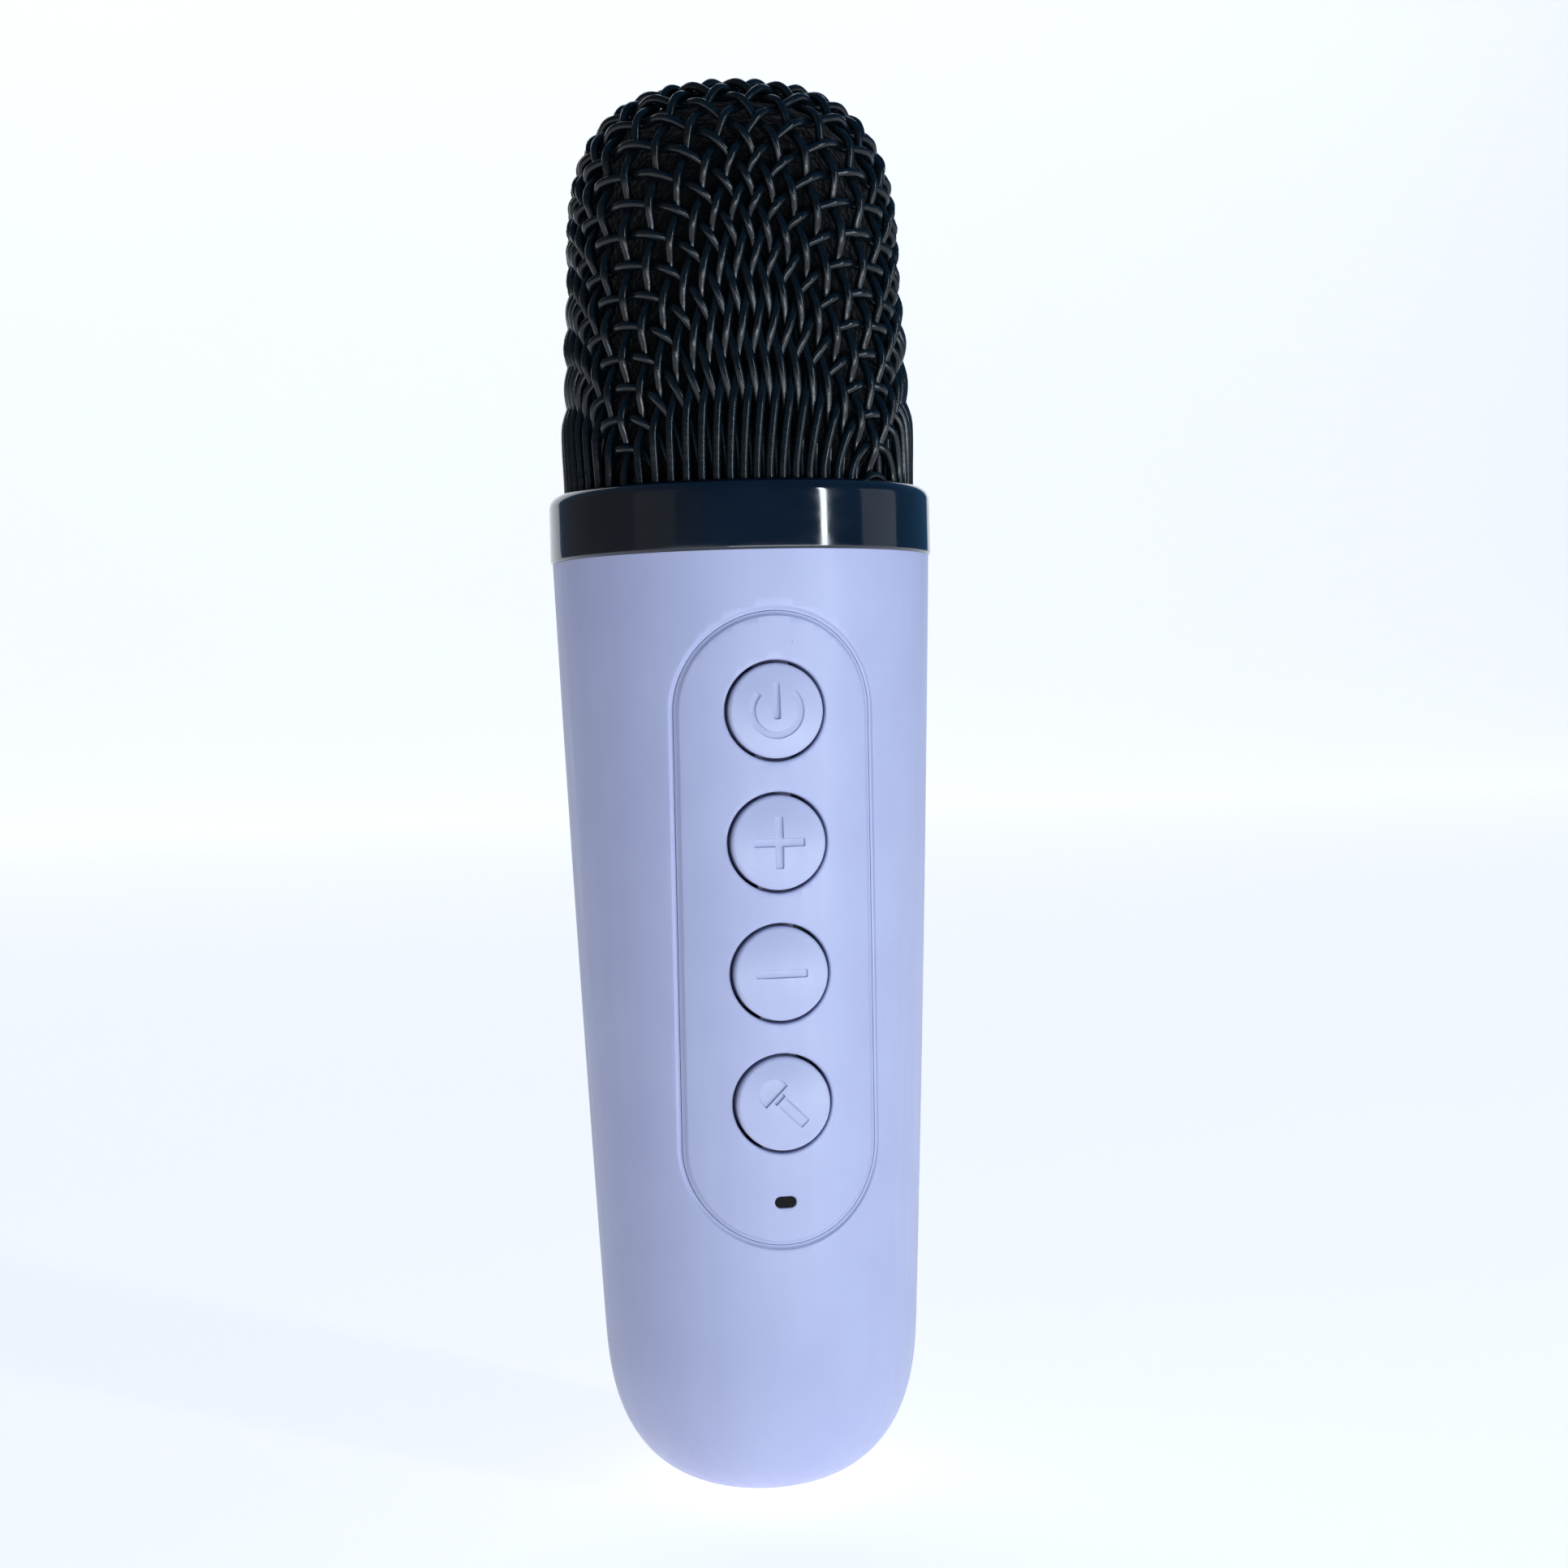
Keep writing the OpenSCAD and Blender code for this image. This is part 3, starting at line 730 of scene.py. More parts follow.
@dataclass
class Casing:
    """The two shells of the handle."""

    rows: int = 70
    dome_rows: int = 36
    steps: int = 224
    seam_bevel: float = 0.09
    port_half_w: float = 4.65
    port_half_h: float = 1.75
    opening_lips: tuple[Point2, ...] = (
        (0.05, DEEP), (0.05, 0.3), (0.14, 0.288), (0.22, 0.255), (0.29, 0.2), (0.34, 0.13),
        (0.39, 0.06), (0.44, 0.015), (0.52, -0.02), (0.66, -0.05), (0.7, OUTSIDE),
    )
    shells: list[bpy.types.Object] = field(default_factory=list)

    def wall_profile(self) -> list[Point2]:
        """Closed profile of a shell's wall."""
        outer = HANDLE.outline(0, self.rows, self.dome_rows)
        inner = HANDLE.outline(HANDLE.wall, self.rows // 3, self.dome_rows // 2)
        return outer + inner[::-1]

    def port_mouth(self) -> bpy.types.Object:
        """The slot in the domed end for the charging plug, with a rounded edge."""
        straight = self.port_half_w - self.port_half_h
        outline = arc((straight, 0), self.port_half_h, -90, 90, 24)
        outline += arc((-straight, 0), self.port_half_h, 90, 270, 24)
        rings = []
        for growth, lift in ((0.9, -2.0), (0.5, -0.06), (0.32, 0.0), (0.14, 0.08), (0.04, 0.2),
                             (0.0, 0.36), (0.0, 6.0)):
            flat = grown(outline, growth)
            z = HANDLE.dome_z(np.hypot(flat[:, 0], flat[:, 1])) + lift
            rings.append(np.stack([flat[:, 0], flat[:, 1], z], 1))
        return loft("port_mouth_tool", rings)

    def half_shell(self, name: str, side: Side) -> bpy.types.Object:
        """One half of the wall, with softened edges along the seam.

        Args:
            name: name of the new object.
            side: which half.

        Returns:
            The new object.
        """
        shell = turn_upright(name, self.wall_profile(), self.steps)
        make_active(shell)
        bpy.ops.object.mode_set(mode="EDIT")
        bpy.ops.mesh.select_mode(type="FACE")
        bpy.ops.mesh.select_all(action="DESELECT")
        mesh = bmesh.from_edit_mesh(shell.data)
        for face in mesh.faces:
            face.select = face.calc_center_median().y * side.value < 0
        bmesh.update_edit_mesh(shell.data)
        bpy.ops.mesh.delete(type="FACE")
        bpy.ops.mesh.select_mode(type="EDGE")
        bpy.ops.mesh.select_all(action="DESELECT")
        bpy.ops.mesh.select_non_manifold(extend=False)
        bpy.ops.mesh.edge_face_add()
        bpy.ops.mesh.select_all(action="DESELECT")
        mesh = bmesh.from_edit_mesh(shell.data)
        for edge in mesh.edges:
            on_seam = all(abs(v.co.y) < MERGE_GAP for v in edge.verts)
            mid = (edge.verts[0].co + edge.verts[1].co) / 2
            r, z = math.hypot(mid.x, mid.y) / MM, mid.z / MM
            outer = HANDLE.dome_h < z < HANDLE.height - 0.1 and r > HANDLE.side_r(z) - 0.2
            on_dome = z <= HANDLE.dome_h and r > 0.1 and z < HANDLE.dome_z(np.array(r)) + 0.4
            edge.select = on_seam and (outer or bool(on_dome))
        bmesh.update_edit_mesh(shell.data)
        bpy.ops.mesh.bevel(offset=self.seam_bevel * MM, segments=2, affect="EDGES")
        bpy.ops.mesh.select_mode(type="VERT")
        bpy.ops.object.mode_set(mode="OBJECT")
        combine(shell, self.port_mouth(), Join.CUT)
        return shell

    def build(self) -> None:
        """Builds both shells."""
        front = self.half_shell("front_casing", Side.FRONT)
        opening = HANDLE.plug_through("opening_tool", HANDLE.racetrack(), self.opening_lips)
        combine(front, opening, Join.CUT)
        self.shells = [front, self.half_shell("rear_casing", Side.REAR)]

    def dress(self) -> None:
        """Gives the shells their finish and body, and hides the CAD nodes they stand in for."""
        for shell, node in zip(self.shells, ("front_shell", "rear_shell")):
            smooth(shell)
            weigh_normals(shell)
            SHELL.dress(shell)
            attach(shell, MICROPHONE)
            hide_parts(node)


@dataclass
class ButtonPanel:
    """The plate set flush in the front shell, with the button holes and the indicator's slot."""

    thickness: float = 1.9
    steps: int = 400
    rows: int = 90
    low: float = 21.0
    high: float = 83.5
    hole_r: float = 4.4
    rim_lips: tuple[Point2, ...] = (
        (0.0, DEEP), (0.0, 0.3), (-0.1, 0.288), (-0.19, 0.255), (-0.26, 0.2), (-0.31, 0.13),
        (-0.36, 0.06), (-0.41, 0.015), (-0.49, -0.02), (-0.63, -0.05), (-0.67, OUTSIDE),
    )
    hole_lips: tuple[Point2, ...] = (
        (0.0, DEEP), (0.0, 0.24), (0.02, 0.15), (0.06, 0.08), (0.12, 0.03), (0.2, 0.0),
        (0.34, -0.03), (0.4, OUTSIDE),
    )
    slot_lips: tuple[Point2, ...] = (
        (0.0, DEEP), (0.0, 0.14), (0.03, 0.06), (0.08, 0.01), (0.16, -0.02), (0.22, OUTSIDE),
    )
    plate: bpy.types.Object | None = None

    def build(self) -> None:
        """Cuts the plate out of a patch of the handle's wall."""
        heights = [self.low + (self.high - self.low) * k / self.rows for k in range(self.rows + 1)]
        profile = [(HANDLE.side_r(z), z) for z in heights]
        profile += [(HANDLE.side_r(z) - self.thickness, z) for z in heights[::-6]]
        plate = turn_upright("button_plate", profile, self.steps, closed=True)
        combine(
            plate,
            HANDLE.plug_through("rim_tool", HANDLE.racetrack(), self.rim_lips),
            Join.KEEP,
        )
        for index in range(4):
            hole = circle((0, HANDLE.button_z(index)), self.hole_r)
            combine(plate, HANDLE.plug_through("hole_tool", hole, self.hole_lips), Join.CUT)
        slot = arc((0.45, HANDLE.led_z), 0.5, -90, 90, 12)
        slot += arc((-0.45, HANDLE.led_z), 0.5, 90, 270, 12)
        combine(plate, HANDLE.plug_through("slot_tool", slot, self.slot_lips), Join.CUT)
        self.plate = plate

    def dress(self) -> None:
        """Gives the plate its finish and body, and hides the CAD node it stands in for."""
        smooth(self.plate)
        weigh_normals(self.plate)
        SHELL.dress(self.plate)
        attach(self.plate, MICROPHONE)
        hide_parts("button_panel")


@dataclass
class Collar:
    """The polished ring between the handle and the grille."""

    radius: float = 17.5
    low: float = 85.2
    high: float = 91.4
    seat_r: float = 15.3
    bore_r: float = 16.15
    step_z: float = 88.0
    top_round: float = 1.2
    foot_round: float = 0.28
    lip_round: float = 0.15
    ring: bpy.types.Object | None = None

    def build(self) -> None:
        """Turns the ring."""
        r, f = self.radius, self.foot_round
        profile = [(self.seat_r, self.low), (r - f - 0.4, self.low)]
        profile += arc((r - f, self.low + f), f, -90, 0, 6)
        profile += [(r, self.low + 1.2), (r, self.low + 2.6), (r, self.low + 4.0)]
        profile += arc((r - self.top_round, self.high - self.top_round), self.top_round, 0, 90, 14)
        inner = self.bore_r + self.lip_round
        profile += arc((inner, self.high - self.lip_round), self.lip_round, 90, 180, 4)[1:]
        profile += [(self.bore_r, 89.5), (self.bore_r, self.step_z), (self.seat_r, self.step_z)]
        self.ring = turn_upright("collar_band", profile, 256, closed=True)

    def dress(self) -> None:
        """Gives the ring its finish and body, and hides the CAD node it stands in for."""
        smooth(self.ring, math.radians(40))
        weigh_normals(self.ring)
        COLLAR.dress(self.ring)
        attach(self.ring, MICROPHONE)
        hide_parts("collar_ring")


# ---- buttons -----------------------------------------------------------------------------------


class Mark(Enum):
    """The symbols pressed into the buttons."""

    POWER = "power"
    PLUS = "plus"
    MINUS = "minus"
    VOICE = "voice"


def mark_outlines(mark: Mark) -> list[list[Point2]]:
    """Anticlockwise outlines of a symbol, centred on its button.

    Args:
        mark: the symbol.

    Returns:
        One outline for each separate stroke.
    """
    corner = 0.12
    if mark is Mark.POWER:
        ring = arc((0, 0), 2.42, 135, 405, 72) + arc((0, 0), 1.86, 405, 135, 72)
        return [ring, rounded_bar(0.6, 3.1, corner, (0, 0.83))]
    if mark is Mark.PLUS:
        w, h, c = 0.35, 2.25, corner
        arm = [(w, w), *arc((w - c, h - c), c, 0, 90, 4), *arc((c - w, h - c), c, 90, 180, 4)]
        points: list[Point2] = []
        for k in range(4):
            points += turned(arm, 90 * k)
        return [points]
    if mark is Mark.MINUS:
        return [rounded_bar(4.5, 0.7, corner)]
    head_r, head_z, cut_z = 1.35, 1.2, 0.95
    tip = math.degrees(math.asin((cut_z - head_z) / head_r))
    head = arc((0, head_z), head_r, tip, 180 - tip, 40)
    neck = rounded_bar(1.1, 0.3, 0.06, (0, 0.6))
    grip = rounded_bar(0.95, 2.85, corner, (0, -1.15))
    return [turned(part, 45) for part in (head, neck, grip)]


@dataclass
class Button:
    """A round cap with its pressed symbol, two wings behind the panel and a stem."""

    name: str
    index: int
    mark: Mark
    key: str
    node: str
    cap_r: float = 4.12
    edge: float = 0.32
    proud: float = 0.45
    crown: float = 0.35
    mark_depth: float = 0.32
    switch_face: float = 11.5
    stem_gap: float = 0.6
    stem_r: float = 1.6
    wing_reach: float = 5.35
    wing_half_w: float = 1.6
    wing_t: float = 0.7
    wing_play: float = 0.2
    cap: bpy.types.Object | None = None

    @property
    def z(self) -> float:
        """Height of the button's middle."""
        return HANDLE.button_z(self.index)

    @property
    def top(self) -> float:
        """Distance of the button's middle in front of the axis."""
        return HANDLE.side_r(self.z) + self.proud

    def wing_front(self) -> float:
        """Distance of the wings' front face in front of the axis."""
        behind = HANDLE.side_r(self.z - self.wing_reach) - ButtonPanel.thickness
        return math.sqrt(behind**2 - self.wing_half_w**2) - self.wing_play

    def profile(self) -> list[Point2]:
        """Half outline: radius and distance in front of the axis, from the stem to the crown."""
        rim = self.top - self.crown
        back = self.wing_front() - self.wing_t
        stem = self.switch_face + self.stem_gap
        points = [(0, stem), (self.stem_r, stem), (self.stem_r, back), (self.cap_r, back)]
        points += arc((self.cap_r - self.edge, rim - self.edge), self.edge, 0, 78, 6)
        flat = points[-1][0]
        steps = 14
        for k in range(steps - 1, -1, -1):
            r = flat * k / steps
            points.append((r, self.top - (self.top - points[9][1]) * (k / steps) ** 2))
        return points

    def cut_mark(self) -> None:
        """Presses the symbol into the crown, with sloping walls."""
        floor = self.top - self.mark_depth
        walls = ((-0.05, floor), (0.0, floor + 0.05), (0.03, floor + 0.3), (0.04, self.top + 0.5))
        for outline in mark_outlines(self.mark):
            dense = thicken(outline, 0.25)
            rings = []
            for growth, y in walls:
                flat = grown(dense, growth)
                rings.append(
                    np.stack([flat[:, 0], np.full(len(flat), -y), flat[:, 1] + self.z], 1)
                )
            combine(self.cap, loft("mark_tool", rings), Join.CUT)

    def build(self) -> None:
        """Turns the cap, adds the wings and cuts the symbol."""
        self.cap = turn(
            self.name,
            self.profile(),
            128,
            lambda p: Vector((p[0], -p[1], self.z)),
            Vector((0.0, 0.0, self.z)),
            Vector((0.0, 1.0, 0.0)),
        )
        deselect_all()
        front = self.wing_front()
        bpy.ops.mesh.primitive_cube_add(
            size=1,
            location=(0, -(front - self.wing_t / 2) * MM, self.z * MM),
            scale=(2 * self.wing_half_w * MM, self.wing_t * MM, 2 * self.wing_reach * MM),
        )
        wings = bpy.context.object
        bpy.ops.object.transform_apply(location=True, rotation=True, scale=True)
        bpy.ops.object.mode_set(mode="EDIT")
        bpy.ops.mesh.bevel(offset=0.15 * MM, segments=2, affect="EDGES")
        bpy.ops.object.mode_set(mode="OBJECT")
        combine(self.cap, wings, Join.ADD)
        self.cut_mark()

    def dress(self) -> None:
        """Gives the cap its finish and body, and hides the CAD node it stands in for."""
        smooth(self.cap)
        weigh_normals(self.cap)
        KEYS.dress(self.cap)
        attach(self.cap, self.key)
        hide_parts(self.node)


# ---- grille ------------------------------------------------------------------------------------


class Weave(Enum):
    """The two families of wires: the warp lies on top in the even rows of crossings."""

    WARP = "warp"
    WEFT = "weft"


@dataclass
class Grille:
    """Woven wire drawn into a round cap: square at the top, sheared to upright wires at the foot."""

    pitch: float = 2.68
    crossings: int = 18
    wire_r: float = 0.4
    lift: float = 0.4
    warp_foot_lift: float = -0.42
    weft_foot_lift: float = 0.4
    foot_aside: float = 0.7
    foot_points: int = 12
    foot_step: float = 0.9
    first_azimuth: float = -49.0
    end_z: float = 88.4
    steps: int = 7
    crowding: float = 0.18
    square_row: int = 3
    blend_rows: int = 8
    slip: float = 0.8
    slip_rows: int = 8
    draw: float = 0.2
    draw_row: int = 11
    foot_r: float = 16.05
    shoulder_r: float = 15.7
    dome_z: float = 110.0
    dome_r: float = 15.35
    total_h: float = 128.4
    power: float = 3.2
    foot_low: float = 88.05
    wires: list[bpy.types.Object] = field(default_factory=list)
    _arc: np.ndarray | None = None
    _curve: np.ndarray | None = None

    def outline(self, inset: float) -> list[Point2]:
        """Half outline of the grille from its crown down to its foot, moved inwards."""
        points: list[Point2] = []
        for k in range(91):
            a = math.radians(90 - k)
            points.append((
                (self.dome_r - inset) * math.cos(a) ** (2 / self.power),
                self.dome_z + (self.total_h - self.dome_z - inset) * math.sin(a) ** (2 / self.power),
            ))
        foot = self.foot_low - 0.05
        points += [
            (self.shoulder_r + 0.1 - inset, foot + 17),
            (self.shoulder_r + 0.15 - inset, foot + 12),
            (self.shoulder_r + 0.5 - inset, foot + 9.1),
            (self.shoulder_r + 0.57 - inset, foot + 7.6),
            (self.foot_r - inset, foot + 4.1),
            (self.foot_r - inset, foot - 1),
        ]
        return points

    def lay_out(self) -> None:
        """Measures the outline along its length and smooths its corners."""
        points = np.array(self.outline(self.wire_r + self.lift))
        length = np.concatenate([[0], np.cumsum(np.linalg.norm(np.diff(points, axis=0), axis=1))])
        self._arc = np.arange(0, length[-1], 0.1)
        dense = np.stack([np.interp(self._arc, length, points[:, k]) for k in (0, 1)], 1)
        window = np.hanning(13)
        window /= window.sum()
        padded = np.concatenate([dense[:1].repeat(6, 0) * [1, 1], dense, dense[-1:].repeat(6, 0)])
        padded[:6, 0] = -dense[6:0:-1, 0]
        padded[:6, 1] = dense[6:0:-1, 1]
        padded[-6:] = 2 * dense[-1] - dense[-2:-8:-1]
        self._curve = np.stack([np.convolve(padded[:, k], window, "valid") for k in (0, 1)], 1)

    def surface(self, azimuth: float, along: float) -> tuple[np.ndarray, np.ndarray]:
        """Place and outward normal on the wires' middle surface.

        Args:
            azimuth: degrees from the first meridian.
            along: distance along the outline from the crown.

        Returns:
            The point and the normal.
        """
        r = np.interp(along, self._arc, self._curve[:, 0])
        z = np.interp(along, self._arc, self._curve[:, 1])
        dr = np.interp(along + 0.2, self._arc, self._curve[:, 0]) - np.interp(
            along - 0.2, self._arc, self._curve[:, 0])
        dz = np.interp(along + 0.2, self._arc, self._curve[:, 1]) - np.interp(
            along - 0.2, self._arc, self._curve[:, 1])
        a = math.radians(self.first_azimuth + azimuth)
        out = np.array([math.sin(a), -math.cos(a), 0.0])
        normal = out * -dz + np.array([0.0, 0.0, dr])
        length = np.linalg.norm(normal)
        normal = normal / length if along > 0.3 and length > 0 else np.array([0.0, 0.0, 1.0])
        return out * r + np.array([0.0, 0.0, z]), normal

    def azimuth(self, i: int, j: int) -> float:
        """Azimuth of the crossing of warp i and weft j, from the first meridian, in degrees."""
        row = i + j
        if row == 0:
            return 0.0
        flat = math.degrees(math.atan2(j, i))
        share = j / row
        drawn = 90 * (share + self.crowding * math.sin(math.tau * share) / math.tau)
        t = min(max((row - self.square_row) / self.blend_rows, 0.0), 1.0)
        blend = t * t * (3 - 2 * t)
        return flat * (1 - blend) + drawn * blend

    def along(self, i: int, j: int) -> float:
        """Distance of a crossing from the crown, along the outline.

        Rows of crossings lie one pitch apart at the first meridian. Half way to the next, where
        the mesh is sheared, they lie closer at the crown and are drawn far apart at the foot.
        """
        row = i + j
        if row == 0:
            return 0.0
        straight = self.pitch * row
        drawn_out = self.draw * max(0, row - self.draw_row) ** 2
        slipped = self.slip * min(row / self.slip_rows, 1)
        sheared = straight / math.sqrt(2) + slipped + drawn_out
        power = straight / (straight - sheared) / 2
        return straight - (straight - sheared) * (1 - abs(1 - 2 * j / row) ** power)

    def crossing_table(self) -> dict[tuple[int, int], tuple[float, float]]:
        """Azimuth and distance from the crown of each crossing in one quarter."""
        last = self.crossings + 1
        return {
            (i, j): (self.azimuth(i, j), self.along(i, j))
            for i in range(last) for j in range(last - i)
        }

    def quarter_route(
        self, table: dict[tuple[int, int], tuple[float, float]], family: Weave, number: int
    ) -> list[tuple[float, float, float]]:
        """One wire's crossings in a quarter and its upright foot.

        Args:
            table: the crossings.
            family: warp or weft.
            number: the wire's number from the middle.

        Returns:
            Azimuth, distance along the outline and lift of each point.
        """
        route = []
        for other in range(self.crossings - number):
            key = (number, other) if family is Weave.WARP else (other, number)
            azimuth, along = table[key]
            on_top = (number + other) % 2 == 0
            lift = self.lift if on_top == (family is Weave.WARP) else -self.lift
            route.append((azimuth, along, lift))
        last = self.crossings - number
        key = (number, last) if family is Weave.WARP else (last, number)
        azimuth, along = table[key]
        if family is Weave.WARP:
            azimuth, lift = azimuth - self.foot_aside, self.warp_foot_lift
        else:
            azimuth, lift = azimuth + self.foot_aside, self.weft_foot_lift
        for k in range(self.foot_points):
            route.append((azimuth, along + k * self.pitch * self.foot_step, lift))
        return route

    def wire_path(
        self, table: dict[tuple[int, int], tuple[float, float]], family: Weave, number: int,
        quarters: tuple[int, int],
    ) -> np.ndarray:
        """Middle line of one whole wire.

        Args:
            table: the crossings.
            family: warp or weft.
            number: the wire's number from the middle.
            quarters: the two quarters that it runs through.

        Returns:
            Points in millimetres.
        """
        halves = []
        for quarter in quarters:
            places = []
            for azimuth, along, lift in self.quarter_route(table, family, number):
                mirrored = quarter in (1, 3)
                own = 90 - azimuth if mirrored else azimuth
                point, normal = self.surface(own + 90 * quarter, along)
                places.append((point, normal, lift))
            halves.append(places)
        nodes = halves[0][::-1] + halves[1][1:]
        base = np.array([n[0] for n in nodes])
        normals = np.array([n[1] for n in nodes])
        lifts = np.array([n[2] for n in nodes])
        return self.sweep(base, normals, lifts)

    def sweep(self, base: np.ndarray, normals: np.ndarray, lifts: np.ndarray) -> np.ndarray:
        """Smooth line through the points, waving between their lifts.

        Args:
            base: points on the middle surface.
            normals: the surface's normals there.
            lifts: height of the wire above the surface at each point.

        Returns:
            Points in millimetres, cut off below the foot.
        """
        line = []
        count = len(base)
        for k in range(count - 1):
            a, b, c, d = (base[max(0, min(count - 1, k + o))] for o in (-1, 0, 1, 2))
            for step in range(self.steps):
                t = step / self.steps
                place = 0.5 * (2 * b + (c - a) * t + (2 * a - 5 * b + 4 * c - d) * t**2
                               + (3 * b - a - 3 * c + d) * t**3)
                normal = normals[k] * (1 - t) + normals[k + 1] * t
                normal /= np.linalg.norm(normal)
                wave = (lifts[k] + lifts[k + 1]) / 2 + (lifts[k] - lifts[k + 1]) / 2 * math.cos(
                    math.pi * t)
                line.append(place + normal * wave)
        points = np.array(line)
        return points[points[:, 2] > self.end_z]

    def build(self) -> None:
        """Weaves both families."""
        self.lay_out()
        table = self.crossing_table()
        for family in Weave:
            curve = bpy.data.curves.new(f"grille_{family.value}", "CURVE")
            curve.dimensions = "3D"
            curve.bevel_depth = self.wire_r * MM
            curve.bevel_resolution = 2
            curve.use_fill_caps = True
            for number in range(self.crossings):
                pairs = ((0, 3), (1, 2)) if family is Weave.WARP else ((0, 1), (3, 2))
                for quarters in pairs[: 1 if number == 0 else 2]:
                    if number == 0:
                        quarters = (0, 3) if family is Weave.WARP else (0, 1)
                    self.add_wire(curve, self.wire_path(table, family, number, quarters))
            wires = bpy.data.objects.new(curve.name, curve)
            bpy.context.scene.collection.objects.link(wires)
            make_active(wires)
            bpy.ops.object.convert(target="MESH")
            clean_up(wires)
            self.wires.append(wires)

    def add_wire(self, curve: bpy.types.Curve, points: np.ndarray) -> None:
        """Adds one wire to the curve."""
        if len(points) < 4:
            return
        spline = curve.splines.new("POLY")
        spline.points.add(len(points) - 1)
        flat = np.concatenate([points * MM, np.ones((len(points), 1))], 1)
        spline.points.foreach_set("co", flat.astype(np.float32).ravel())

    def dress(self) -> None:
        """Gives the wires their finish and body, and hides the CAD node they stand in for."""
        for wires in self.wires:
            make_active(wires)
            bpy.ops.object.shade_smooth()
            WIRE.dress(wires)
            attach(wires, MICROPHONE)
            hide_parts("grille_mesh")


@dataclass
class FoamLiner:
    """The soft foam lining behind the grille."""

    gap: float = 0.25
    thickness: float = 2.0
    foot: float = 88.0
    crown_gap: float = 0.4
    lump: float = 0.09
    liner: bpy.types.Object | None = None

    def build(self, grille: Grille) -> None:
        """Turns the lining and makes its surface a little uneven.

        Args:
            grille: the grille that the lining fits in.
        """
        outer_r = grille.dome_r - 2 * (grille.wire_r + grille.lift) - self.gap
        crown = grille.total_h - 2 * (grille.wire_r + grille.lift) - self.crown_gap
        outer = self.shape(grille, outer_r, crown)
        inner = self.shape(grille, outer_r - self.thickness, crown - self.thickness)
        self.liner = turn_upright("head_foam", outer + inner[::-1], 144)
        for vertex in self.liner.data.vertices:
            away = Vector((vertex.co.x, vertex.co.y, 0)).normalized()
            if vertex.co.z < (self.foot + 0.2) * MM:
                continue
            rough = noise.noise(vertex.co / (1.7 * MM)) * self.lump
            vertex.co += away * min(rough, 0.05) * MM

    def shape(self, grille: Grille, r: float, crown: float) -> list[Point2]:
        """Half outline of one side of the lining, crown to foot."""
        points: list[Point2] = []
        for k in range(31):
            a = math.radians(90 - 3 * k)
            points.append((
                r * math.cos(a) ** (2 / grille.power),
                grille.dome_z + (crown - grille.dome_z) * math.sin(a) ** (2 / grille.power),
            ))
        low, full = self.foot + 4, self.foot + 6
        points += [(r, grille.dome_z - (grille.dome_z - full) * k / 16) for k in range(1, 17)]
        points += [(r - 0.7, low), (r - 0.7, low - 2), (r - 0.7, self.foot)]
        return points

    def dress(self) -> None:
        """Gives the lining its finish and body, and hides the CAD node it stands in for."""
        smooth(self.liner, math.radians(50))
        FOAM.dress(self.liner)
        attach(self.liner, MICROPHONE)
        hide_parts("foam_liner")


# ---- what stays from the CAD -------------------------------------------------------------------


@dataclass
class InnerWorks:
    """The CAD nodes that keep their own shape, with their finishes."""

    finishes: dict[Finish, tuple[str, ...]] = field(default_factory=lambda: {
        RIM: ("grille_rim",),
        BLACK_RESIN: ("head_base", "main_chip", "charge_chip", "usb_tongue", "power_switch",
                      "volume_up_switch", "volume_down_switch", "voice_switch"),
        RUBBER: ("capsule_boot",),
        ALLOY: ("capsule",),
        FELT: ("capsule_felt",),
        BLACK_LEAD: ("capsule_leads", "battery_negative_lead"),
        RED_LEAD: ("battery_positive_lead",),
        RIBBON: ("board_ribbon",),
        BOARD: ("circuit_board", "charge_board"),
        STEEL: ("board_screws", "charge_screws"),
        TIN: ("radio_module", "crystal", "usb_port"),
        CERAMIC: ("antenna", "status_led"),
        PLUNGER: ("power_plunger", "volume_up_plunger", "volume_down_plunger", "voice_plunger"),
        LENS: ("light_pipe",),
        CELL: ("battery_cell",),
    })

    def dress(self) -> None:
        """Puts each finish on its nodes."""
        for finish, names in self.finishes.items():
            for name in names:
                finish.dress(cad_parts[name])


@dataclass
class BatteryPad:
    """The foam pad between the cell and the board."""

    half_w: float = 4.0
    front: float = 5.8
    back: float = 4.4
    low: float = 44.0
    high: float = 56.0
    pad: bpy.types.Object | None = None

    def build(self) -> None:
        """Builds a pad with rounded edges."""
        deselect_all()
        size = (2 * self.half_w - 0.3, self.front - self.back - 0.05, self.high - self.low - 0.3)
        bpy.ops.mesh.primitive_cube_add(
            size=1,
            location=(0, -(self.front + self.back) / 2 * MM, (self.low + self.high) / 2 * MM),
            scale=[s * MM for s in size],
        )
        self.pad = bpy.context.object
        self.pad.name = "cell_pad"
        bpy.ops.object.transform_apply(location=True, rotation=True, scale=True)
        bpy.ops.object.mode_set(mode="EDIT")
        bpy.ops.mesh.bevel(offset=0.35 * MM, segments=4, affect="EDGES")
        bpy.ops.object.mode_set(mode="OBJECT")
        clean_up(self.pad)

    def dress(self) -> None:
        """Gives the pad its finish and body, and hides the CAD node it stands in for."""
        smooth(self.pad, math.radians(60))
        PAD_FOAM.dress(self.pad)
        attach(self.pad, MICROPHONE)
        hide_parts("battery_pad")


# ---- studio ------------------------------------------------------------------------------------


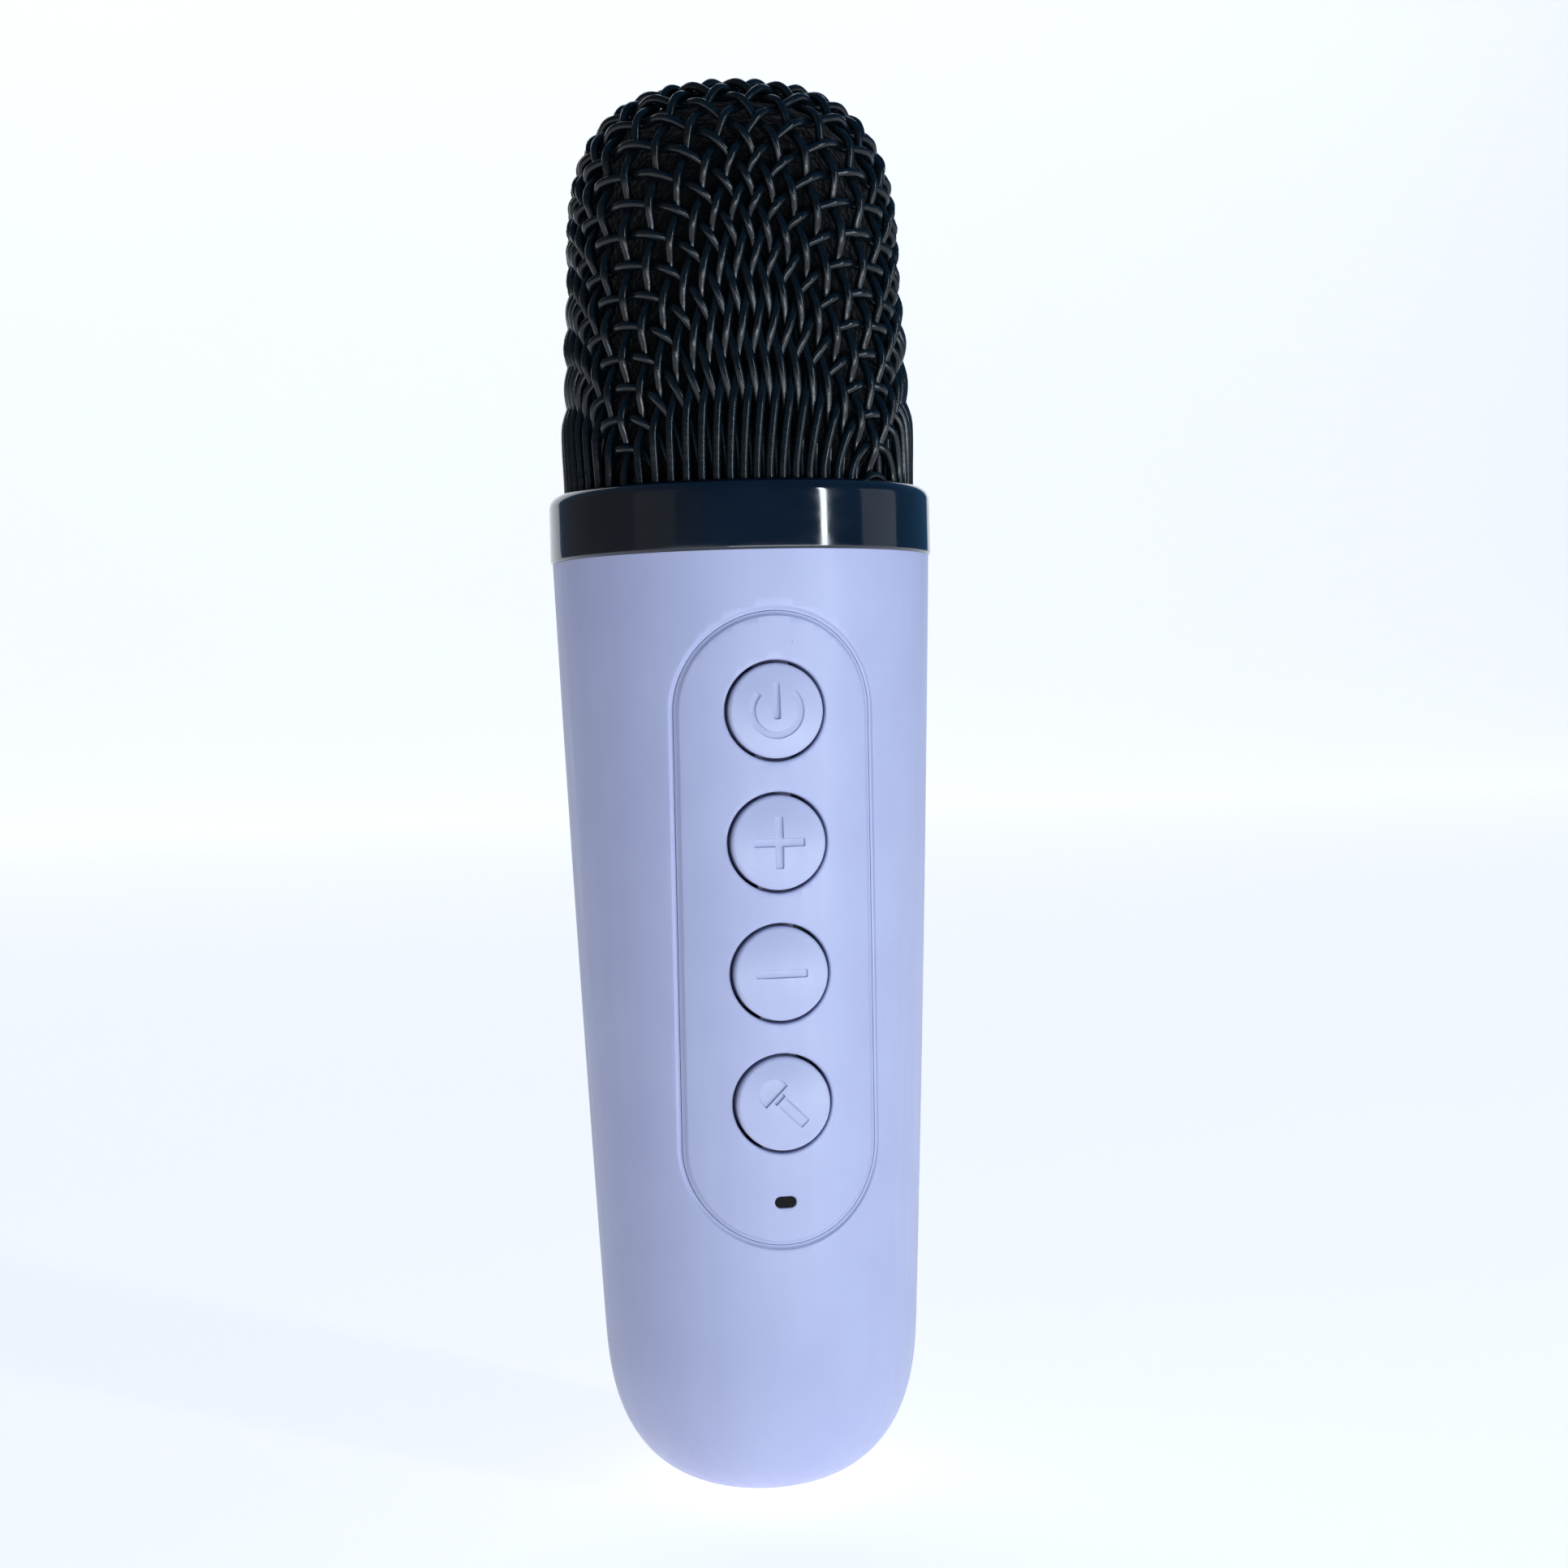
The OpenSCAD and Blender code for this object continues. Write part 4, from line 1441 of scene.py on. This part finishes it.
@dataclass(frozen=True)
class SoftLight:
    """A rectangular studio light aimed at a point, in metres."""

    name: str
    place: tuple[float, float, float]
    aim: tuple[float, float, float]
    size: tuple[float, float]
    power: float
    color: Color

    def build(self) -> None:
        """Adds the light."""
        data = bpy.data.lights.new(self.name, "AREA")
        data.shape = "RECTANGLE"
        data.size, data.size_y = self.size
        data.energy = self.power
        data.color = self.color
        lamp = bpy.data.objects.new(self.name, data)
        bpy.context.scene.collection.objects.link(lamp)
        lamp.location = self.place
        way = Vector(self.aim) - Vector(self.place)
        lamp.rotation_euler = way.to_track_quat("-Z", "Y").to_euler()


@dataclass
class Studio:
    """Camera, lights, pale floor and world."""

    camera_place: tuple[float, float, float] = (-38.43, -236.05, 71.27)
    forward: tuple[float, float, float] = (0.174801, 0.984196, -0.028326)
    up: tuple[float, float, float] = (0.031331, 0.023194, 0.999240)
    lens: float = 59.31
    floor_half: float = 1.4
    floor_glow: float = 0.72
    sweep_back: float = 1.6
    sweep_r: float = 0.8
    room_color: Color = (0.04, 0.13, 0.27)
    left_color: Color = (0.16, 0.15, 0.14)
    room_strength: float = 0.8
    room_fade: tuple[float, float] = (-0.9, -0.3)
    lights: tuple[SoftLight, ...] = (
        SoftLight("window", (0.40, -0.46, 0.12), (0, 0, 0.07), (0.04, 0.4), 1.2, (0.86, 0.95, 1.0)),
        SoftLight("low", (0.06, -0.27, 0.014), (0, 0, 0.05), (0.3, 0.03), 0.34, (0.84, 0.93, 1.0)),
        SoftLight("left", (-0.7, -0.4, 0.3), (0, 0, 0.06), (0.4, 0.5), 0.05, (1.0, 0.93, 0.86)),
        SoftLight("right", (0.75, -0.1, 0.15), (0, 0, 0.06), (0.4, 0.4), 0.2, (0.92, 0.95, 1.0)),
    )

    def build(self) -> None:
        """Sets up everything that isn't the object."""
        self.build_camera()
        self.build_floor()
        self.build_world()
        for light in self.lights:
            light.build()
        view = bpy.context.scene.view_settings
        view.view_transform = "Standard"
        view.look = "None"

    def build_camera(self) -> None:
        """Adds the camera at its fitted place and turn."""
        data = bpy.data.cameras.new("camera")
        data.lens = self.lens
        data.clip_start, data.clip_end = 0.01, 20
        camera = bpy.data.objects.new("camera", data)
        bpy.context.scene.collection.objects.link(camera)
        forward = Vector(self.forward).normalized()
        right = forward.cross(Vector(self.up)).normalized()
        up = right.cross(forward)
        turn_to = Matrix((right, up, -forward)).transposed()
        camera.matrix_world = Matrix.Translation(Vector(self.camera_place) * MM) @ turn_to.to_4x4()
        bpy.context.scene.camera = camera

    def build_floor(self) -> None:
        """Adds the pale floor, swept up into a backdrop behind the object."""
        deselect_all()
        back, r = self.sweep_back, self.sweep_r
        count = 16
        line = [(-self.floor_half, 0.0), (back, 0.0)]
        line += [
            (back + r * math.sin(math.radians(90 * k / count)),
             r - r * math.cos(math.radians(90 * k / count)))
            for k in range(1, count + 1)
        ]
        line.append((back + r, 3.0))
        bpy.ops.mesh.primitive_plane_add(size=MM)
        floor = bpy.context.object
        floor.name = "floor"
        bpy.ops.object.mode_set(mode="EDIT")
        bpy.ops.mesh.merge(type="CENTER")
        for (y0, z0), (y1, z1) in zip(line, line[1:]):
            bpy.ops.mesh.extrude_region_move(
                TRANSFORM_OT_translate={"value": (0, y1 - y0, z1 - z0)}
            )
        bpy.ops.mesh.select_all(action="SELECT")
        bpy.ops.mesh.extrude_region_move(
            TRANSFORM_OT_translate={"value": (2 * self.floor_half, 0, 0)}
        )
        bpy.ops.object.mode_set(mode="OBJECT")
        floor.data.transform(Matrix.Translation((-self.floor_half, line[0][0], 0.0)))
        make_active(floor)
        bpy.ops.object.shade_smooth()
        nodes = Nodes("studio_paper")
        color = nodes.mix(nodes.span(nodes.noise(300), 0, 1), (0.86, 0.87, 0.88), (0.83, 0.84, 0.86))
        nodes.link(color, nodes.shader.inputs["Base Color"])
        nodes.set(Roughness=0.95, Specular_IOR_Level=0.1)
        nodes.shader.inputs["Emission Color"].default_value = (1.0, 1.0, 1.0, 1.0)
        nodes.shader.inputs["Emission Strength"].default_value = self.floor_glow
        floor.data.materials.append(nodes.material)

    def build_world(self) -> None:
        """Adds a dim bluish room that turns warm grey on the left."""
        world = bpy.data.worlds.new("room")
        bpy.context.scene.world = world
        world.use_nodes = True
        tree = world.node_tree
        tree.nodes.clear()
        output = tree.nodes.new("ShaderNodeOutputWorld")
        background = tree.nodes.new("ShaderNodeBackground")
        background.inputs["Strength"].default_value = self.room_strength
        place = tree.nodes.new("ShaderNodeTexCoord")
        split = tree.nodes.new("ShaderNodeSeparateXYZ")
        ramp = tree.nodes.new("ShaderNodeValToRGB")
        span = tree.nodes.new("ShaderNodeMapRange")
        span.inputs["From Min"].default_value = self.room_fade[0]
        span.inputs["From Max"].default_value = self.room_fade[1]
        ramp.color_ramp.elements[0].color = (*self.left_color, 1)
        ramp.color_ramp.elements[1].color = (*self.room_color, 1)
        tree.links.new(place.outputs["Generated"], split.inputs[0])
        tree.links.new(split.outputs["X"], span.inputs["Value"])
        tree.links.new(span.outputs["Result"], ramp.inputs["Fac"])
        tree.links.new(ramp.outputs["Color"], background.inputs["Color"])
        tree.links.new(background.outputs[0], output.inputs["Surface"])


# ---- the whole ---------------------------------------------------------------------------------


def report(*pieces: bpy.types.Object) -> None:
    """Logs the size of each piece."""
    for piece in pieces:
        triangles = sum(len(p.vertices) - 2 for p in piece.data.polygons)
        log.info("%s: %d triangles", piece.name, triangles)


def main() -> None:
    """Builds the microphone piece by piece, then the studio around it."""
    logging.basicConfig(level=logging.INFO, format="%(name)s: %(message)s")
    casing = Casing()
    casing.build()
    casing.dress()
    report(*casing.shells)
    panel = ButtonPanel()
    panel.build()
    panel.dress()
    report(panel.plate)
    collar = Collar()
    collar.build()
    collar.dress()
    report(collar.ring)
    buttons = (
        Button("power_cap", 0, Mark.POWER, "power_key", "power_button"),
        Button("volume_up_cap", 1, Mark.PLUS, "volume_up_key", "volume_up_button"),
        Button("volume_down_cap", 2, Mark.MINUS, "volume_down_key", "volume_down_button"),
        Button("voice_cap", 3, Mark.VOICE, "voice_key", "voice_button"),
    )
    for button in buttons:
        button.build()
        button.dress()
        report(button.cap)
    grille = Grille()
    grille.build()
    grille.dress()
    report(*grille.wires)
    foam = FoamLiner()
    foam.build(grille)
    foam.dress()
    report(foam.liner)
    pad = BatteryPad()
    pad.build()
    pad.dress()
    report(pad.pad)
    InnerWorks().dress()
    Studio().build()


if __name__ == "__main__":
    main()
